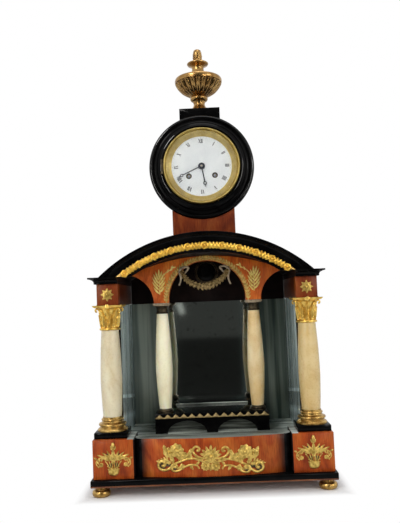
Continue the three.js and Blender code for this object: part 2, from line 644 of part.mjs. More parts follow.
// Neck, drum, rear door, urn block and urn
function head() {
  const group = new THREE.Group();
  const z = DRUM_CENTRE_HEIGHT;
  const w = NECK_WIDTH / 2;
  const inside = w - NECK_WALL;
  const low = corniceTop;
  const shell = bar(DRUM_RADIUS + GAP, 2 * NECK_FRONT, 2 * NECK_BACK, 0, z, 72);
  const flange = bar(DRUM_FLANGE_RADIUS + GAP, 2 * DRUM_FRONT, NECK_FRONT + NECK_WALL * 1.7, 0, z, 72);
  const roof = bar(roofRadius + GAP, 2 * NECK_FRONT, 2 * NECK_BACK, 0, archCentre, 128);
  const box = solid(block(-w, w, NECK_FRONT, NECK_BACK, low, z));
  const hollow = block(-inside, inside, NECK_FRONT + NECK_WALL, NECK_BACK - NECK_WALL, low - 1, z + 1);
  group.add(piece("neck_case", cut(box, hollow, shell, flange, roof), MAHOGANY));

  const f = DRUM_FRONT;
  const bore = BEZEL_RADIUS + 2 * GAP;
  const rim = DRUM_FLANGE_RADIUS;
  const wide = rim - bore;
  const inner = DRUM_RADIUS - DRUM_WALL;
  const opening = FRONT_PLATE_RADIUS - 4;
  const outline = [
    [bore, f], [bore, f - 6], [bore + wide * 0.2, f - 7], [bore + wide * 0.38, f - 4],
    [bore + wide * 0.66, f - 2.5], [bore + wide * 0.76, f - 0.5], [rim - 1.5, f + 0.4], [rim, f + 2],
    [rim, f + 5.5], [DRUM_RADIUS, f + 7.5], [DRUM_RADIUS, DRUM_BACK], [inner, DRUM_BACK], [inner, webBack],
    [opening, webBack], [opening, f],
  ];
  const fixed = [[KNUCKLE_HALF + GAP, KNUCKLE_HALF * 1.8], [-KNUCKLE_HALF * 1.8, -KNUCKLE_HALF - GAP]];
  const lugs = fixed.flatMap(([z0, z1]) => [
    knuckle(hingeX, hingeY, z0, z1),
    block(hingeX - KNUCKLE_RADIUS, hingeX, hingeY, f - 5.5, z0, z1),
    knuckle(doorHingeX, doorHingeY, z0, z1),
    block(doorHingeX, doorHingeX + KNUCKLE_RADIUS * 0.95, DRUM_BACK - 1, doorHingeY, z0, z1),
  ]);
  const case_ = cut(join(ring(outline, 48), ...lugs), rodSlot(-2 * rim, -DRUM_RADIUS * 0.6));
  group.add(piece("drum_case", case_, EBONISED, [0, 0, z]));

  const d = DRUM_BACK + GAP;
  const t = DOOR_THICKNESS;
  const edge = doorHingeX - KNUCKLE_RADIUS - GAP;
  const disc = faced([[0, d], [edge, d], [edge, d + t * 0.7], [edge - 3, d + t], [0, d + t]], 40);
  const leafs = [
    knuckle(doorHingeX, doorHingeY, -KNUCKLE_HALF, KNUCKLE_HALF),
    block(edge - 4, doorHingeX, d + t * 0.4, doorHingeY, -KNUCKLE_HALF, KNUCKLE_HALF),
  ];
  group.add(piece("drum_rear_door", join(disc, ...leafs), EBONISED, [0, 0, z]));

  const bw = URN_BLOCK_WIDTH / 2;
  const bd = URN_BLOCK_DEPTH / 2;
  const seat = solid(block(-bw, bw, URN_Y - bd, URN_Y + bd, z, URN_BLOCK_TOP));
  group.add(piece("urn_block", cut(seat, shell), EBONISED));

  const r = URN_RADIUS;
  const u = URN_HEIGHT;
  const profile = [
    [0, 0], [r * 0.44, 0], [r * 0.44, u * 0.03], [r * 0.36, u * 0.06], [r * 0.26, u * 0.105],
    [r * 0.24, u * 0.14], [r * 0.28, u * 0.178], [r * 0.36, u * 0.2], [r * 0.37, u * 0.23],
    [r * 0.35, u * 0.252], [r * 0.46, u * 0.28], [r * 0.68, u * 0.335], [r * 0.85, u * 0.4],
    [r * 0.95, u * 0.47], [r, u * 0.53], [r * 0.97, u * 0.565], [r * 0.8, u * 0.58], [r * 0.4, u * 0.59],
    [r * 0.29, u * 0.62], [r * 0.25, u * 0.675], [r * 0.3, u * 0.725], [r * 0.45, u * 0.752],
    [r * 0.44, u * 0.772], [r * 0.16, u * 0.805], [r * 0.17, u * 0.85], [r * 0.19, u * 0.908],
    [r * 0.13, u * 0.965], [0, u],
  ];
  group.add(piece("urn", turned(profile, 20), ANTIQUE_GILT, [0, URN_Y, URN_BLOCK_TOP]));
  return group;
}

// Bezel with its glass, the enamel dial and the hands
function face() {
  const group = new THREE.Group();
  group.position.z = DRUM_CENTRE_HEIGHT;
  const r = BEZEL_RADIUS;
  const rear = DRUM_FRONT - GAP;
  const lip = DRUM_FRONT - BEZEL_DEPTH;
  const seat = r - BEZEL_LIP;
  const glassSeat = lip + 3.2;
  const low = dialFront - GAP;
  const outline = [
    [r, rear], [r, lip + 2.5], [r - 1.3, lip], [seat + 1.2, lip], [seat, lip + 1.3], [seat, glassSeat],
    [SIGHT_RADIUS, low - 1], [SIGHT_RADIUS, low], [seat + 1, low], [seat + 1, rear],
  ];
  const k = KNUCKLE_HALF;
  const hinge = [
    knuckle(hingeX, hingeY, -k, k),
    block(hingeX, -r + 2, hingeY - KNUCKLE_RADIUS * 0.4, hingeY + KNUCKLE_RADIUS * 0.9, -k, k),
  ];
  group.add(piece("bezel", join(ring(outline, 48), ...hinge), GILT));
  const g = seat - GAP;
  const inside = glassSeat - GAP;
  const curve = [[1, 0], [0.8, 0.36], [0.5, 0.75], [0, 1]];
  const dome = (y) => curve.map(([out, up]) => [g * out, y - GLASS_DOME * up]);
  const pane = [...dome(inside).reverse(), ...dome(inside - GLASS_THICKNESS)];
  group.add(piece("bezel_glass", faced(pane, 32), GLASS));

  const shaftHoles = sides.map(([side]) =>
    bar(BARREL_ARBOR + 1.4, dialFront - 1, DRUM_FRONT + 1, side * WINDING_X, windingZ, 12));
  const disc = bar(DIAL_RADIUS, dialFront, DRUM_FRONT, 0, 0, 40);
  const feet = [30, 150, 270].map((deg) => {
    const a = THREE.MathUtils.degToRad(deg);
    const at = DIAL_RADIUS * 0.82;
    return bar(1.2, DRUM_FRONT - 0.5, webBack, at * Math.cos(a), at * Math.sin(a), 8);
  });
  const middle = bar(HOUR_PIPE_RADIUS + 2 * GAP, dialFront - 1, DRUM_FRONT + 1, 0, 0, 16);
  group.add(piece("dial", cut(join(disc, ...feet), middle, ...shaftHoles), ENAMEL));

  // Each hand: a boss, a thin blade, an open moon near the end and a point
  const hand = (length, moon, boss, hole, width) => {
    const at = length * 0.8;
    const bossTurn = Math.acos(width / boss);
    const moonTurn = Math.acos(width / moon);
    const shape = outlined([
      ...arc(0, 0, boss, bossTurn, -Math.PI - bossTurn, 18),
      ...arc(0, at, moon, Math.PI + moonTurn, Math.PI - moonTurn, 6),
      [-width * 0.3, length], [width * 0.3, length],
      ...arc(0, at, moon, moonTurn, -moonTurn, 6),
    ]);
    shape.holes.push(new THREE.Path(vectors(arc(0, 0, hole, 0, 2 * Math.PI, 14).slice(0, -1))));
    shape.holes.push(new THREE.Path(vectors(arc(0, at, moon * 0.6, 0, 2 * Math.PI, 10).slice(0, -1))));
    return shape;
  };
  const hourY = dialFront - GAP - 0.7 - HAND_THICKNESS;
  const minuteY = hourY - 1.2 - HAND_THICKNESS;
  const hourShape = hand(HOUR_HAND_LENGTH, 2.8, 5.2, HOUR_PIPE_RADIUS + GAP, 0.75);
  const minuteShape = hand(MINUTE_HAND_LENGTH, 2.4, 4.2, CANNON_RADIUS + GAP, 0.6);
  const hour = piece("hour_hand", plate(hourShape, hourY, hourY + HAND_THICKNESS), DARK_STEEL);
  hour.rotation.y = THREE.MathUtils.degToRad(HOUR_AT);
  const minute = piece("minute_hand", plate(minuteShape, minuteY, minuteY + HAND_THICKNESS), DARK_STEEL);
  minute.rotation.y = THREE.MathUtils.degToRad(MINUTE_AT);
  group.add(hour, minute);

  // Motion work behind the dial: cannon pinion, minute wheel and hour wheel
  const y1 = webBack - 1.2;
  const y0 = y1 - WHEEL_THICKNESS;
  const y3 = y0 - 0.8;
  const y2 = y3 - WHEEL_THICKNESS;
  const up = Math.PI / 2;
  const tube = (outer, hole, a, b) => ring([[outer, a], [outer, b], [hole, b], [hole, a]], 14);
  const arborHole = PIVOT_RADIUS + GAP;
  const cannonAt = gapAt(-up, CANNON_TEETH);
  const pinion = toothed(CANNON_TEETH, MOTION_MODULE, LEAF_TOOTH, cannonAt, y0 - 0.3, y1 + 0.3);
  const bore = bar(arborHole, minuteY - 5, webBack + 1, 0, 0, 14);
  const cannon = cut(join(pinion, tube(CANNON_RADIUS, arborHole, minuteY - 0.8, y1 + 0.3)), bore);
  group.add(piece("cannon_pinion", cannon, STEEL));

  const minuteAt = gapAt(up, MINUTE_PINION_TEETH);
  const stud = [
    toothed(MINUTE_WHEEL_TEETH, MOTION_MODULE, WHEEL_TOOTH, -up, y0, y1),
    toothed(MINUTE_PINION_TEETH, MOTION_MODULE, LEAF_TOOTH, minuteAt, y2 - 0.3, y0 + 0.1),
    bar(PIVOT_RADIUS, y0, webBack + PLATE_THICKNESS, 0, 0, 8),
  ];
  group.add(piece("minute_wheel", join(...stud), BRASS, [0, 0, motionReach]));

  const pipeHole = bar(CANNON_RADIUS + GAP, hourY - 5, webBack, 0, 0, 14);
  const wheel = toothed(HOUR_WHEEL_TEETH, MOTION_MODULE, WHEEL_TOOTH, up, y2, y3);
  const pipe = bar(HOUR_PIPE_RADIUS, hourY - 0.5, y3, 0, 0, 14);
  group.add(piece("hour_wheel", cut(join(wheel, pipe), pipeHole), BRASS));
  return group;
}

// The movement between its plates, the pendulum, the bell and the hammer
function movement() {
  const group = new THREE.Group();
  group.position.z = DRUM_CENTRE_HEIGHT;
  const pivotHole = PIVOT_RADIUS + GAP;
  const frontFace = webBack + GAP;
  const hole = (radius, x, z) => [
    bar(radius, frontFace - 1, platesFrom + 1, x, z, 8),
    bar(radius, backPlate - 1, backPlateRear + 1, x, z, 8),
  ];
  const drilled = [
    ...hole(pivotHole, 0, 0), ...hole(pivotHole, ...third), ...hole(pivotHole, ...escape),
    ...hole(pivotHole, 0, anchorZ), ...hole(pivotHole, hammerX, hammerZ),
    ...sides.flatMap(([side]) => hole(BARREL_ARBOR + GAP, side * WINDING_X, windingZ)),
  ];
  const stud = bar(pivotHole, frontFace - 1, platesFrom + 1, 0, motionReach, 10);
  const disc = (radius, y0, y1) => faced([[0, y0], [radius, y0], [radius, y1], [0, y1]], 36);
  const frontDisc = solid(disc(FRONT_PLATE_RADIUS, frontFace, platesFrom));
  group.add(piece("front_plate", cut(frontDisc, stud, ...drilled), BRASS));

  // The pillars are riveted into the back plate, which also carries the suspension cock.
  const pillars = [30, 90, 150, 270].map((deg) => {
    const a = THREE.MathUtils.degToRad(deg);
    const [x, z] = [PILLAR_CIRCLE * Math.cos(a), PILLAR_CIRCLE * Math.sin(a)];
    return bar(PILLAR_RADIUS, platesFrom, backPlate + 1, x, z, 10);
  });
  const springTop = anchorZ + 3;
  const cock = block(-3, 3, backPlateRear - 1, pendulumY + 3, springTop, springTop + 5);
  const rear = join(disc(BACK_PLATE_RADIUS, backPlate, backPlateRear), ...pillars, cock);
  group.add(piece("back_plate", cut(rear, ...drilled), BRASS));

  // Barrels: the going side drives the centre pinion, the striking side sits the other way round.
  const great = platesFrom + 2;
  const drum = great + WHEEL_THICKNESS + 0.5;
  const drumEnd = drum + BARREL_LENGTH;
  const square = block(-1.5, 1.5, dialFront + 0.4, webBack, -1.5, 1.5);
  const arbor = [bar(BARREL_ARBOR, webBack - 1, backPlateRear - 0.2, 0, 0, 12), square];
  const atCentre = Math.atan2(-windingZ, -WINDING_X);
  const teeth = toothed(WHEEL_TEETH, BARREL_MODULE, WHEEL_TOOTH, atCentre, great, great + WHEEL_THICKNESS);
  const going = join(teeth, bar(BARREL_RADIUS, great + 0.5, drumEnd, 0, 0, 28), ...arbor);
  group.add(piece("going_barrel", going, BRASS, [WINDING_X, 0, windingZ]));
  const rim = bar(BARREL_RADIUS + 4, drumEnd + 0.5, drumEnd + 0.5 + WHEEL_THICKNESS, 0, 0, 32);
  const striking = join(rim, bar(BARREL_RADIUS, drum, drumEnd + 1, 0, 0, 28), ...arbor);
  group.add(piece("strike_barrel", striking, BRASS, [-WINDING_X, 0, windingZ]));

  // Going train: centre, third and escape wheels with their pinions
  const spindle = [bar(ARBOR_RADIUS, platesFrom + GAP, backPlate - GAP, 0, 0, 8),
    bar(PIVOT_RADIUS, frontFace + 0.3, backPlateRear - 0.3, 0, 0, 8)];
  const leaves = (module, towards, y) => {
    const at = gapAt(towards, PINION_LEAVES);
    return toothed(PINION_LEAVES, module, LEAF_TOOTH, at, y - 0.6, y + WHEEL_THICKNESS + 0.6);
  };
  const layer1 = drumEnd + WHEEL_THICKNESS + 2.5;
  const layer2 = layer1 + WHEEL_THICKNESS + 2;
  const layer3 = layer2 + WHEEL_THICKNESS + 2;
  const towardsEscape = Math.atan2(escape[1] - third[1], escape[0] - third[0]);
  const wheelAt = (module, at, y) =>
    toothed(WHEEL_TEETH, module, WHEEL_TOOTH, at, y, y + WHEEL_THICKNESS);
  const nose = bar(PIVOT_RADIUS, dialFront - 7, frontFace + 1, 0, 0, 8);
  const centreParts = [wheelAt(CENTRE_MODULE, thirdAngle, layer1), leaves(BARREL_MODULE, atCentre, great)];
  group.add(piece("centre_wheel", join(...centreParts, ...spindle, nose), BRASS));
  const thirdParts = [
    wheelAt(THIRD_MODULE, towardsEscape, layer2),
    leaves(CENTRE_MODULE, thirdAngle, layer1),
  ];
  group.add(piece("third_wheel", join(...thirdParts, ...spindle), BRASS, [third[0], 0, third[1]]));
  const spikes = [];
  for (let i = 0; i < ESCAPE_TEETH; i += 1) {
    const a = (2 * Math.PI * i) / ESCAPE_TEETH;
    spikes.push([0.84, a - 0.06], [1, a + 0.02], [0.84, a + 0.04]);
  }
  const rimPoints = spikes.map(([share, a]) => {
    const r = share * ESCAPE_RADIUS;
    return [r * Math.cos(a), r * Math.sin(a)];
  });
  const saw = plate(outlined(rimPoints), layer3, layer3 + WHEEL_THICKNESS * 0.8);
  const scape = join(saw, leaves(THIRD_MODULE, towardsEscape, layer2), ...spindle);
  group.add(piece("escape_wheel", scape, BRASS, [escape[0], 0, escape[1]]));

  // Anchor: pallets clear of the escape wheel, an arbor, and a crutch down to the rod
  const clear = ESCAPE_RADIUS + PALLET_CLEARANCE;
  const arms = outlined([
    ...arc(0, -ANCHOR_ABOVE, clear, Math.PI * 0.27, Math.PI * 0.73, 10),
    ...arc(0, -ANCHOR_ABOVE, clear + 2.4, Math.PI * 0.73, Math.PI * 0.27, 10),
  ]);
  const crutchY = backPlateRear + 3;
  const drop = 34;
  const fork = ROD_RADIUS + GAP;
  const crutch = [
    block(-1.2, 1.2, crutchY, crutchY + 1.6, -drop, 1.5),
    bar(PIVOT_RADIUS, backPlate - 2, crutchY + 1, 0, 0, 8),
    block(-fork - 1.2, fork + 1.2, crutchY, crutchY + 1.6, -drop - 2.4, -drop + 0.1),
    ...sides.map(([side]) => {
      const [x0, x1] = side < 0 ? [-fork - 1.2, -fork] : [fork, fork + 1.2];
      return block(x0, x1, crutchY + 1, pendulumY + 2, -drop - 2.4, -drop);
    }),
  ];
  const anchor = join(plate(arms, layer3, layer3 + WHEEL_THICKNESS * 0.8), ...spindle, ...crutch,
    bar(ANCHOR_ABOVE - ESCAPE_RADIUS - GAP, layer3 - 0.5, layer3 + WHEEL_THICKNESS, 0, 0, 10));
  group.add(piece("anchor", anchor, STEEL, [0, 0, anchorZ]));

  const b = BOB_THICKNESS / 2;
  const lens = [[0, -1], [0.55, -0.9], [0.9, -0.45], [1, 0], [0.9, 0.45], [0.55, 0.9], [0, 1]];
  const bobOutline = lens.map(([out, along]) => [BOB_RADIUS * out, pendulumY + b * along]);
  const bob = faced(bobOutline, 24).translate(0, 0, -PENDULUM_LENGTH);
  const low = -PENDULUM_LENGTH - BOB_RADIUS - 6;
  const rodOutline = [[0, low], [ROD_RADIUS, low], [ROD_RADIUS, -6], [0, -6]];
  const rod = turned(rodOutline, 10).translate(0, pendulumY, 0);
  const spring = block(-1.5, 1.5, pendulumY - 0.3, pendulumY + 0.3, -8, springTop - anchorZ - GAP);
  group.add(piece("pendulum", join(bob, rod, spring), BRONZE, [0, 0, anchorZ]));

  // Bell on its post behind the back plate, and the hammer beside its rim
  const mouth = backPlateRear + BELL_BEHIND;
  const crown = mouth + BELL_DEPTH;
  const k = BELL_WALL;
  const dish = faced([
    [0, crown - k], [BELL_RADIUS * 0.5 - 0.3, crown - k],
    [BELL_RADIUS * 0.8 - k, mouth + BELL_DEPTH * 0.85 - k * 0.5],
    [BELL_RADIUS * 0.97 - k, mouth + BELL_DEPTH * 0.4], [BELL_RADIUS - k, mouth], [BELL_RADIUS, mouth],
    [BELL_RADIUS * 0.97, mouth + BELL_DEPTH * 0.4], [BELL_RADIUS * 0.8, mouth + BELL_DEPTH * 0.85],
    [BELL_RADIUS * 0.5, crown], [0, crown],
  ], 24);
  const post = bar(2, backPlateRear, crown - k / 2, 0, 0, 10);
  group.add(piece("bell", join(dish, post), BRASS, [BELL_X, 0, BELL_Z]));

  const headY = mouth + 2.5;
  const blow = [
    ...spindle,
    bar(PIVOT_RADIUS, backPlate - 1, headY, 0, 0, 8),
    block(-0.8, 0.8, headY - 1.5, headY + 0.5, -2, HAMMER_DROP),
    bar(HAMMER_HEAD, headY - 2.5, headY + 2.5, 0, HAMMER_DROP, 12),
  ];
  group.add(piece("strike_hammer", join(...blow), STEEL, [hammerX, 0, hammerZ]));
  return group;
}

const clock = new THREE.Group();
clock.add(base(), portico(), niche(), pediment(), bridge(), head(), face(), movement());

export default clock;
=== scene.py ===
# %% [markdown]
# # A portico table clock, dressed in Blender
# The clock is a small wooden temple: two alabaster columns stand before a mirrored niche, an arched roof
# lies on them, and a black drum with the dial rises on a veneered neck, with a gilt urn on top. The packed
# model gives every body, joint and size. This file loads it as a fixed frame and dresses it: turned and
# carved pieces stand in for the plain solids, and each surface gets its finish. Sizes are in millimetres,
# in the frame's place.

# %% the frame
import json
import math

import bmesh
import bpy
from mathutils import Matrix, Vector

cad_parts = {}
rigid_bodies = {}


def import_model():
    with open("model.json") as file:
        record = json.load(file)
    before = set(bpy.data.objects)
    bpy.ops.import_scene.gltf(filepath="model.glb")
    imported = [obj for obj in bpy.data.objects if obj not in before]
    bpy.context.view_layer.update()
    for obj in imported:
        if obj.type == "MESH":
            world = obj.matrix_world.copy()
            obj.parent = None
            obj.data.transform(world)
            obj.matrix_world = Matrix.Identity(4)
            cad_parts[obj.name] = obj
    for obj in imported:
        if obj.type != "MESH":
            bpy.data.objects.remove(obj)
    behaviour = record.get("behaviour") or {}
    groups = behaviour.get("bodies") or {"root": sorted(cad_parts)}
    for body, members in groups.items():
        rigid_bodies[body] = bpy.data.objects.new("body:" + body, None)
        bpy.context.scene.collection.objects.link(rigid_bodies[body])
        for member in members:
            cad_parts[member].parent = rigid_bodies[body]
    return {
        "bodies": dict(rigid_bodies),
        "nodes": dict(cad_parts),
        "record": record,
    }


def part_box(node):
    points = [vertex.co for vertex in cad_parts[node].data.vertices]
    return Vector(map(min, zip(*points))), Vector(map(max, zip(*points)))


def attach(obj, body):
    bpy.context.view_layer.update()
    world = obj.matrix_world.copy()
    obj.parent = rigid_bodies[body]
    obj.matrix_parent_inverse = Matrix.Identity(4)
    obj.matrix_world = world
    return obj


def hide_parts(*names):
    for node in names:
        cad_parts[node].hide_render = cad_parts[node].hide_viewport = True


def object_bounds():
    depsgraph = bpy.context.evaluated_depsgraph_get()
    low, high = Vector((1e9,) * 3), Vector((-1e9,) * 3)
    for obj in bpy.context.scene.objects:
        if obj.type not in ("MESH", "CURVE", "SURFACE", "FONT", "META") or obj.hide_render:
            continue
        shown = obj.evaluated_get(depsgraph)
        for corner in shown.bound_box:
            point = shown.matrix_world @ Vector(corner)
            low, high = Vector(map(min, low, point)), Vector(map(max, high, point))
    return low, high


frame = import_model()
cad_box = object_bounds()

kept = set(frame["nodes"].values()) | set(frame["bodies"].values())
for extra in [o for o in bpy.data.objects if o not in kept]:
    bpy.data.objects.remove(extra)

# %% [markdown]
# ## Places
# Each piece sits on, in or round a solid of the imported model, so its place is read from that solid's box
# where it can be. Hinge pins and the pendulum's pivot have no box of their own. Their places come from the
# joints in the record.

# %% places from the frame
MM = 0.001
SIDES = {"left": -1, "right": 1}


def corners(solid):
    return [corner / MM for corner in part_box(solid)]


def centre(solid):
    low, high = corners(solid)
    return (low + high) / 2


def seat(solid):
    low, high = corners(solid)
    return Vector(((low.x + high.x) / 2, (low.y + high.y) / 2, low.z))


def inner_side(solid):
    return min((corner.x for corner in corners(solid)), key=abs)


joint_at = {row["name"]: Vector(row["pos_m"]) / MM for row in frame["record"]["behaviour"]["joints"]}

# %% [markdown]
# ## The camera
# The photograph was taken from just right of the middle, a little below half height, with the camera tipped
# up and slightly turned in its own plane, so the clock leans in the picture. A camera can be aimed by a
# constraint, but a matrix built from yaw, pitch and roll keeps the lean, and other views can still move it.

# %% camera
LENS_AT = Vector((6.8, -944.5, 261.6))
FOCAL_PIXELS, PICTURE_HEIGHT, SENSOR = 620.1, 523, 36
yaw, pitch, roll = (math.radians(a) for a in (-0.94, 3.63, 2.33))
level_right = Vector((math.cos(yaw), -math.sin(yaw), 0))
level_ahead = Vector((math.sin(yaw), math.cos(yaw), 0))
ahead = math.cos(pitch) * level_ahead + math.sin(pitch) * Vector((0, 0, 1))
above = math.cos(pitch) * Vector((0, 0, 1)) - math.sin(pitch) * level_ahead
lens_right = math.cos(roll) * level_right - math.sin(roll) * above
lens_up = math.sin(roll) * level_right + math.cos(roll) * above

camera = bpy.data.objects.new("camera", bpy.data.cameras.new("camera"))
bpy.context.scene.collection.objects.link(camera)
aim = Matrix((lens_right, lens_up, -ahead)).transposed().to_4x4()
camera.matrix_world = Matrix.Translation(LENS_AT * MM) @ aim
camera.data.sensor_fit = "VERTICAL"
camera.data.sensor_height = SENSOR
camera.data.lens = FOCAL_PIXELS * SENSOR / PICTURE_HEIGHT
camera.data.clip_start = 0.01
bpy.context.scene.camera = camera
bpy.context.scene.view_settings.view_transform = "Standard"
print("camera lens", round(camera.data.lens, 2), "mm")

# %% [markdown]
# ## Node helpers
# Finishes, the floor and the world are all small graphs of nodes. A few helpers keep them short: each takes
# the sockets it works on and gives back the socket of its result, so a graph reads from left to right.

# %% node helpers
def node(tree, kind, inputs=(), **settings):
    made = tree.nodes.new("ShaderNode" + kind)
    for key, value in settings.items():
        setattr(made, key, value)
    for key, value in dict(inputs).items():
        made.inputs[key].default_value = value
    return made


def wire(tree, *pairs):
    for out, into in pairs:
        tree.links.new(out, into)


def combine(tree, kind, first, second):
    made = node(tree, "Math", operation=kind)
    wire(tree, (first, made.inputs[0]), (second, made.inputs[1]))
    return made.outputs[0]


def spread(tree, value, span, to=(0, 1), smooth=False):
    ends = {"From Min": span[0], "From Max": span[1], "To Min": to[0], "To Max": to[1]}
    made = node(tree, "MapRange", ends, interpolation_type="SMOOTHSTEP" if smooth else "LINEAR")
    wire(tree, (value, made.inputs["Value"]))
    return made.outputs["Result"]


def ramp(tree, value, stops):
    made = node(tree, "ValToRGB")
    steps = made.color_ramp.elements
    while len(steps) < len(stops):
        steps.new(0.5)
    for step, (place, colour) in zip(steps, stops):
        step.position = place
        step.color = (*colour, 1)
    wire(tree, (value, made.inputs["Fac"]))
    return made.outputs["Color"]


def mixed(tree, share, first, second, way="MIX"):
    made = node(tree, "Mix", data_type="RGBA", blend_type=way)
    if isinstance(share, float):
        made.inputs["Factor"].default_value = share
    else:
        wire(tree, (share, made.inputs["Factor"]))
    wire(tree, (first, made.inputs["A"]), (second, made.inputs["B"]))
    return made.outputs["Result"]


print("node helpers ready")

# %% [markdown]
# ## Light, floor and backdrop
# A key lamp stands at the upper left, a weaker one at the right and a wide one above. Two tall, narrow
# lamps in front draw the thin bright arcs on the drum. The white background is the world's own colour for
# the rays that the eye sees, and a softer grey for the light it gives.

# %% world
world = bpy.data.worlds.new("studio")
bpy.context.scene.world = world
world.use_nodes = True
tree = world.node_tree
lit = tree.nodes["Background"]
lit.inputs["Color"].default_value = (0.93, 0.96, 1.0, 1)
lit.inputs["Strength"].default_value = 0.42
seen = node(tree, "Background", {"Color": (1, 1, 1, 1), "Strength": 1.0})
rays = node(tree, "LightPath")
looked_at = combine(tree, "MAXIMUM", rays.outputs["Is Camera Ray"], rays.outputs["Is Glossy Ray"])
looked_at = combine(tree, "MAXIMUM", looked_at, rays.outputs["Is Transmission Ray"])
choose = node(tree, "MixShader")
wire(tree, (looked_at, choose.inputs["Fac"]), (lit.outputs[0], choose.inputs[1]),
     (seen.outputs[0], choose.inputs[2]), (choose.outputs[0], tree.nodes["World Output"].inputs["Surface"]))
print("world set")

# %% lamps
def soft_lamp(name, place, target, size, watts, tint=(1, 1, 1)):
    lamp = bpy.data.objects.new(name, bpy.data.lights.new(name, "AREA"))
    lamp.data.shape = "ELLIPSE"
    lamp.data.size, lamp.data.size_y = size
    lamp.data.energy = watts
    lamp.data.color = tint
    bpy.context.scene.collection.objects.link(lamp)
    aim = Vector(target) - Vector(place)
    lamp.matrix_world = Matrix.Translation(place) @ aim.to_track_quat("-Z", "Y").to_matrix().to_4x4()


WARM = (1.0, 0.97, 0.92)
soft_lamp("key_lamp", (-0.9, -1.5, 1.6), (0, 0, 0.35), (0.5, 0.5), 13, (1.0, 0.98, 0.95))
soft_lamp("fill_lamp", (1.6, -1.2, 0.9), (0, 0, 0.3), (0.4, 0.4), 6.5, (0.97, 0.98, 1.0))
soft_lamp("top_lamp", (0.1, -0.1, 2.2), (0, 0, 0.2), (1.2, 1.2), 9)
soft_lamp("front_lamp_left", (-0.7, -1.2, 0.5), (0, 0, 0.4), (0.08, 0.7), 2.8, WARM)
soft_lamp("front_lamp_right", (0.7, -1.2, 0.5), (0, 0, 0.4), (0.08, 0.7), 2.4, WARM)
print("5 lamps")

# %% [markdown]
# The floor is pale and takes the clock's shadow. Beyond the shadow it turns white for the eye, so that it
# runs into the background without an edge.

# %% floor
def stage_plane(name, size, place, turn, colour):
    bm = bmesh.new()
    bmesh.ops.create_grid(bm, x_segments=1, y_segments=1, size=size / 2)
    bmesh.ops.transform(bm, matrix=Matrix.Translation(place) @ turn, verts=bm.verts)
    mesh = bpy.data.meshes.new(name)
    bm.to_mesh(mesh)
    bm.free()
    plane = bpy.data.objects.new(name, mesh)
    bpy.context.scene.collection.objects.link(plane)
    material = bpy.data.materials.new(name)
    material.use_nodes = True
    shader = material.node_tree.nodes["Principled BSDF"]
    shader.inputs["Base Color"].default_value = (*colour, 1)
    shader.inputs["Roughness"].default_value = 0.9
    shader.inputs["Specular IOR Level"].default_value = 0.1
    mesh.materials.append(material)
    return plane


SHADOW_EDGE = (0.002, 0.022)
floor = stage_plane("floor", 6.0, (0, 0, -0.0002), Matrix.Identity(4), (0.94, 0.94, 0.94))
tree = floor.data.materials[0].node_tree
space = node(tree, "TexCoord")
beside = node(tree, "VectorMath", operation="ABSOLUTE")
past = node(tree, "VectorMath", {1: (cad_box[1][0], cad_box[1][1], 0)}, operation="SUBTRACT")
split = node(tree, "SeparateXYZ")
wire(tree, (space.outputs["Object"], beside.inputs[0]), (beside.outputs[0], past.inputs[0]),
     (past.outputs[0], split.inputs[0]))
reach = combine(tree, "MAXIMUM", split.outputs["X"], split.outputs["Y"])
eye = node(tree, "LightPath")
share = combine(tree, "MULTIPLY", spread(tree, reach, SHADOW_EDGE, smooth=True), eye.outputs["Is Camera Ray"])
white = node(tree, "Emission", {"Color": (1, 1, 1, 1), "Strength": 1.0})
choose = node(tree, "MixShader")
wire(tree, (share, choose.inputs["Fac"]), (tree.nodes["Principled BSDF"].outputs[0], choose.inputs[1]),
     (white.outputs[0], choose.inputs[2]),
     (choose.outputs[0], tree.nodes["Material Output"].inputs["Surface"]))
print("floor laid")

# %% [markdown]
# ## The room in the mirrors
# The photographer's own room shows in the old plates: a dusky wall, a dark floor and a pale window. Three
# cards stand for them and are seen in reflections only. Their greys are laid out as the eye sees them in
# the mirror, so each card is divided by its distance from the lens's own mirror image.

# %% dark room in the reflections
MIRROR_FACE = 75
LENS_IMAGE = (2 * MIRROR_FACE - LENS_AT.y) * MM
upright = Matrix.Rotation(math.radians(90), 4, "X")
window = Matrix.Rotation(math.radians(-20), 4, "Y") @ upright @ Matrix.Diagonal((0.013, 0.032, 1, 1))
for name, place, turned, dusk in (("room_wall", (0, -3.3, 1.5), upright, 0.042),
                                  ("room_floor", (0, -2.05, 0.0004), Matrix.Identity(4), 0.011),
                                  ("room_window", (-0.218, -3.28, 0.22), window, 0.45)):
    card = stage_plane(name, 3.0, place, turned, (0.01, 0.01, 0.01))
    for ray in ("visible_camera", "visible_diffuse", "visible_transmission", "visible_shadow"):
        setattr(card, ray, False)
    tree = card.data.materials[0].node_tree
    space = node(tree, "TexCoord")
    split = node(tree, "SeparateXYZ")
    depth = node(tree, "Math", {0: LENS_IMAGE}, operation="SUBTRACT")
    wire(tree, (space.outputs["Object"], split.inputs[0]), (split.outputs["Y"], depth.inputs[1]))
    seen_across = combine(tree, "DIVIDE", split.outputs["X"], depth.outputs[0])
    middle = (dusk, dusk * 1.02, dusk * 0.94)
    greys = [(0.2, (0.08, 0.095, 0.09)), (0.27, (0.1, 0.115, 0.1)), (0.31, middle), (0.65, middle),
             (0.69, (0.065, 0.08, 0.075)), (0.8, (0.075, 0.09, 0.082))]
    # Each card glows with its own grey: a painted reflection of the room, not a lamp.
    glow = node(tree, "Emission", {"Strength": 1.0})
    wire(tree, (ramp(tree, spread(tree, seen_across, (-0.15, 0.15)), greys), glow.inputs["Color"]),
         (glow.outputs[0], tree.nodes["Material Output"].inputs["Surface"]))
print("3 room cards")

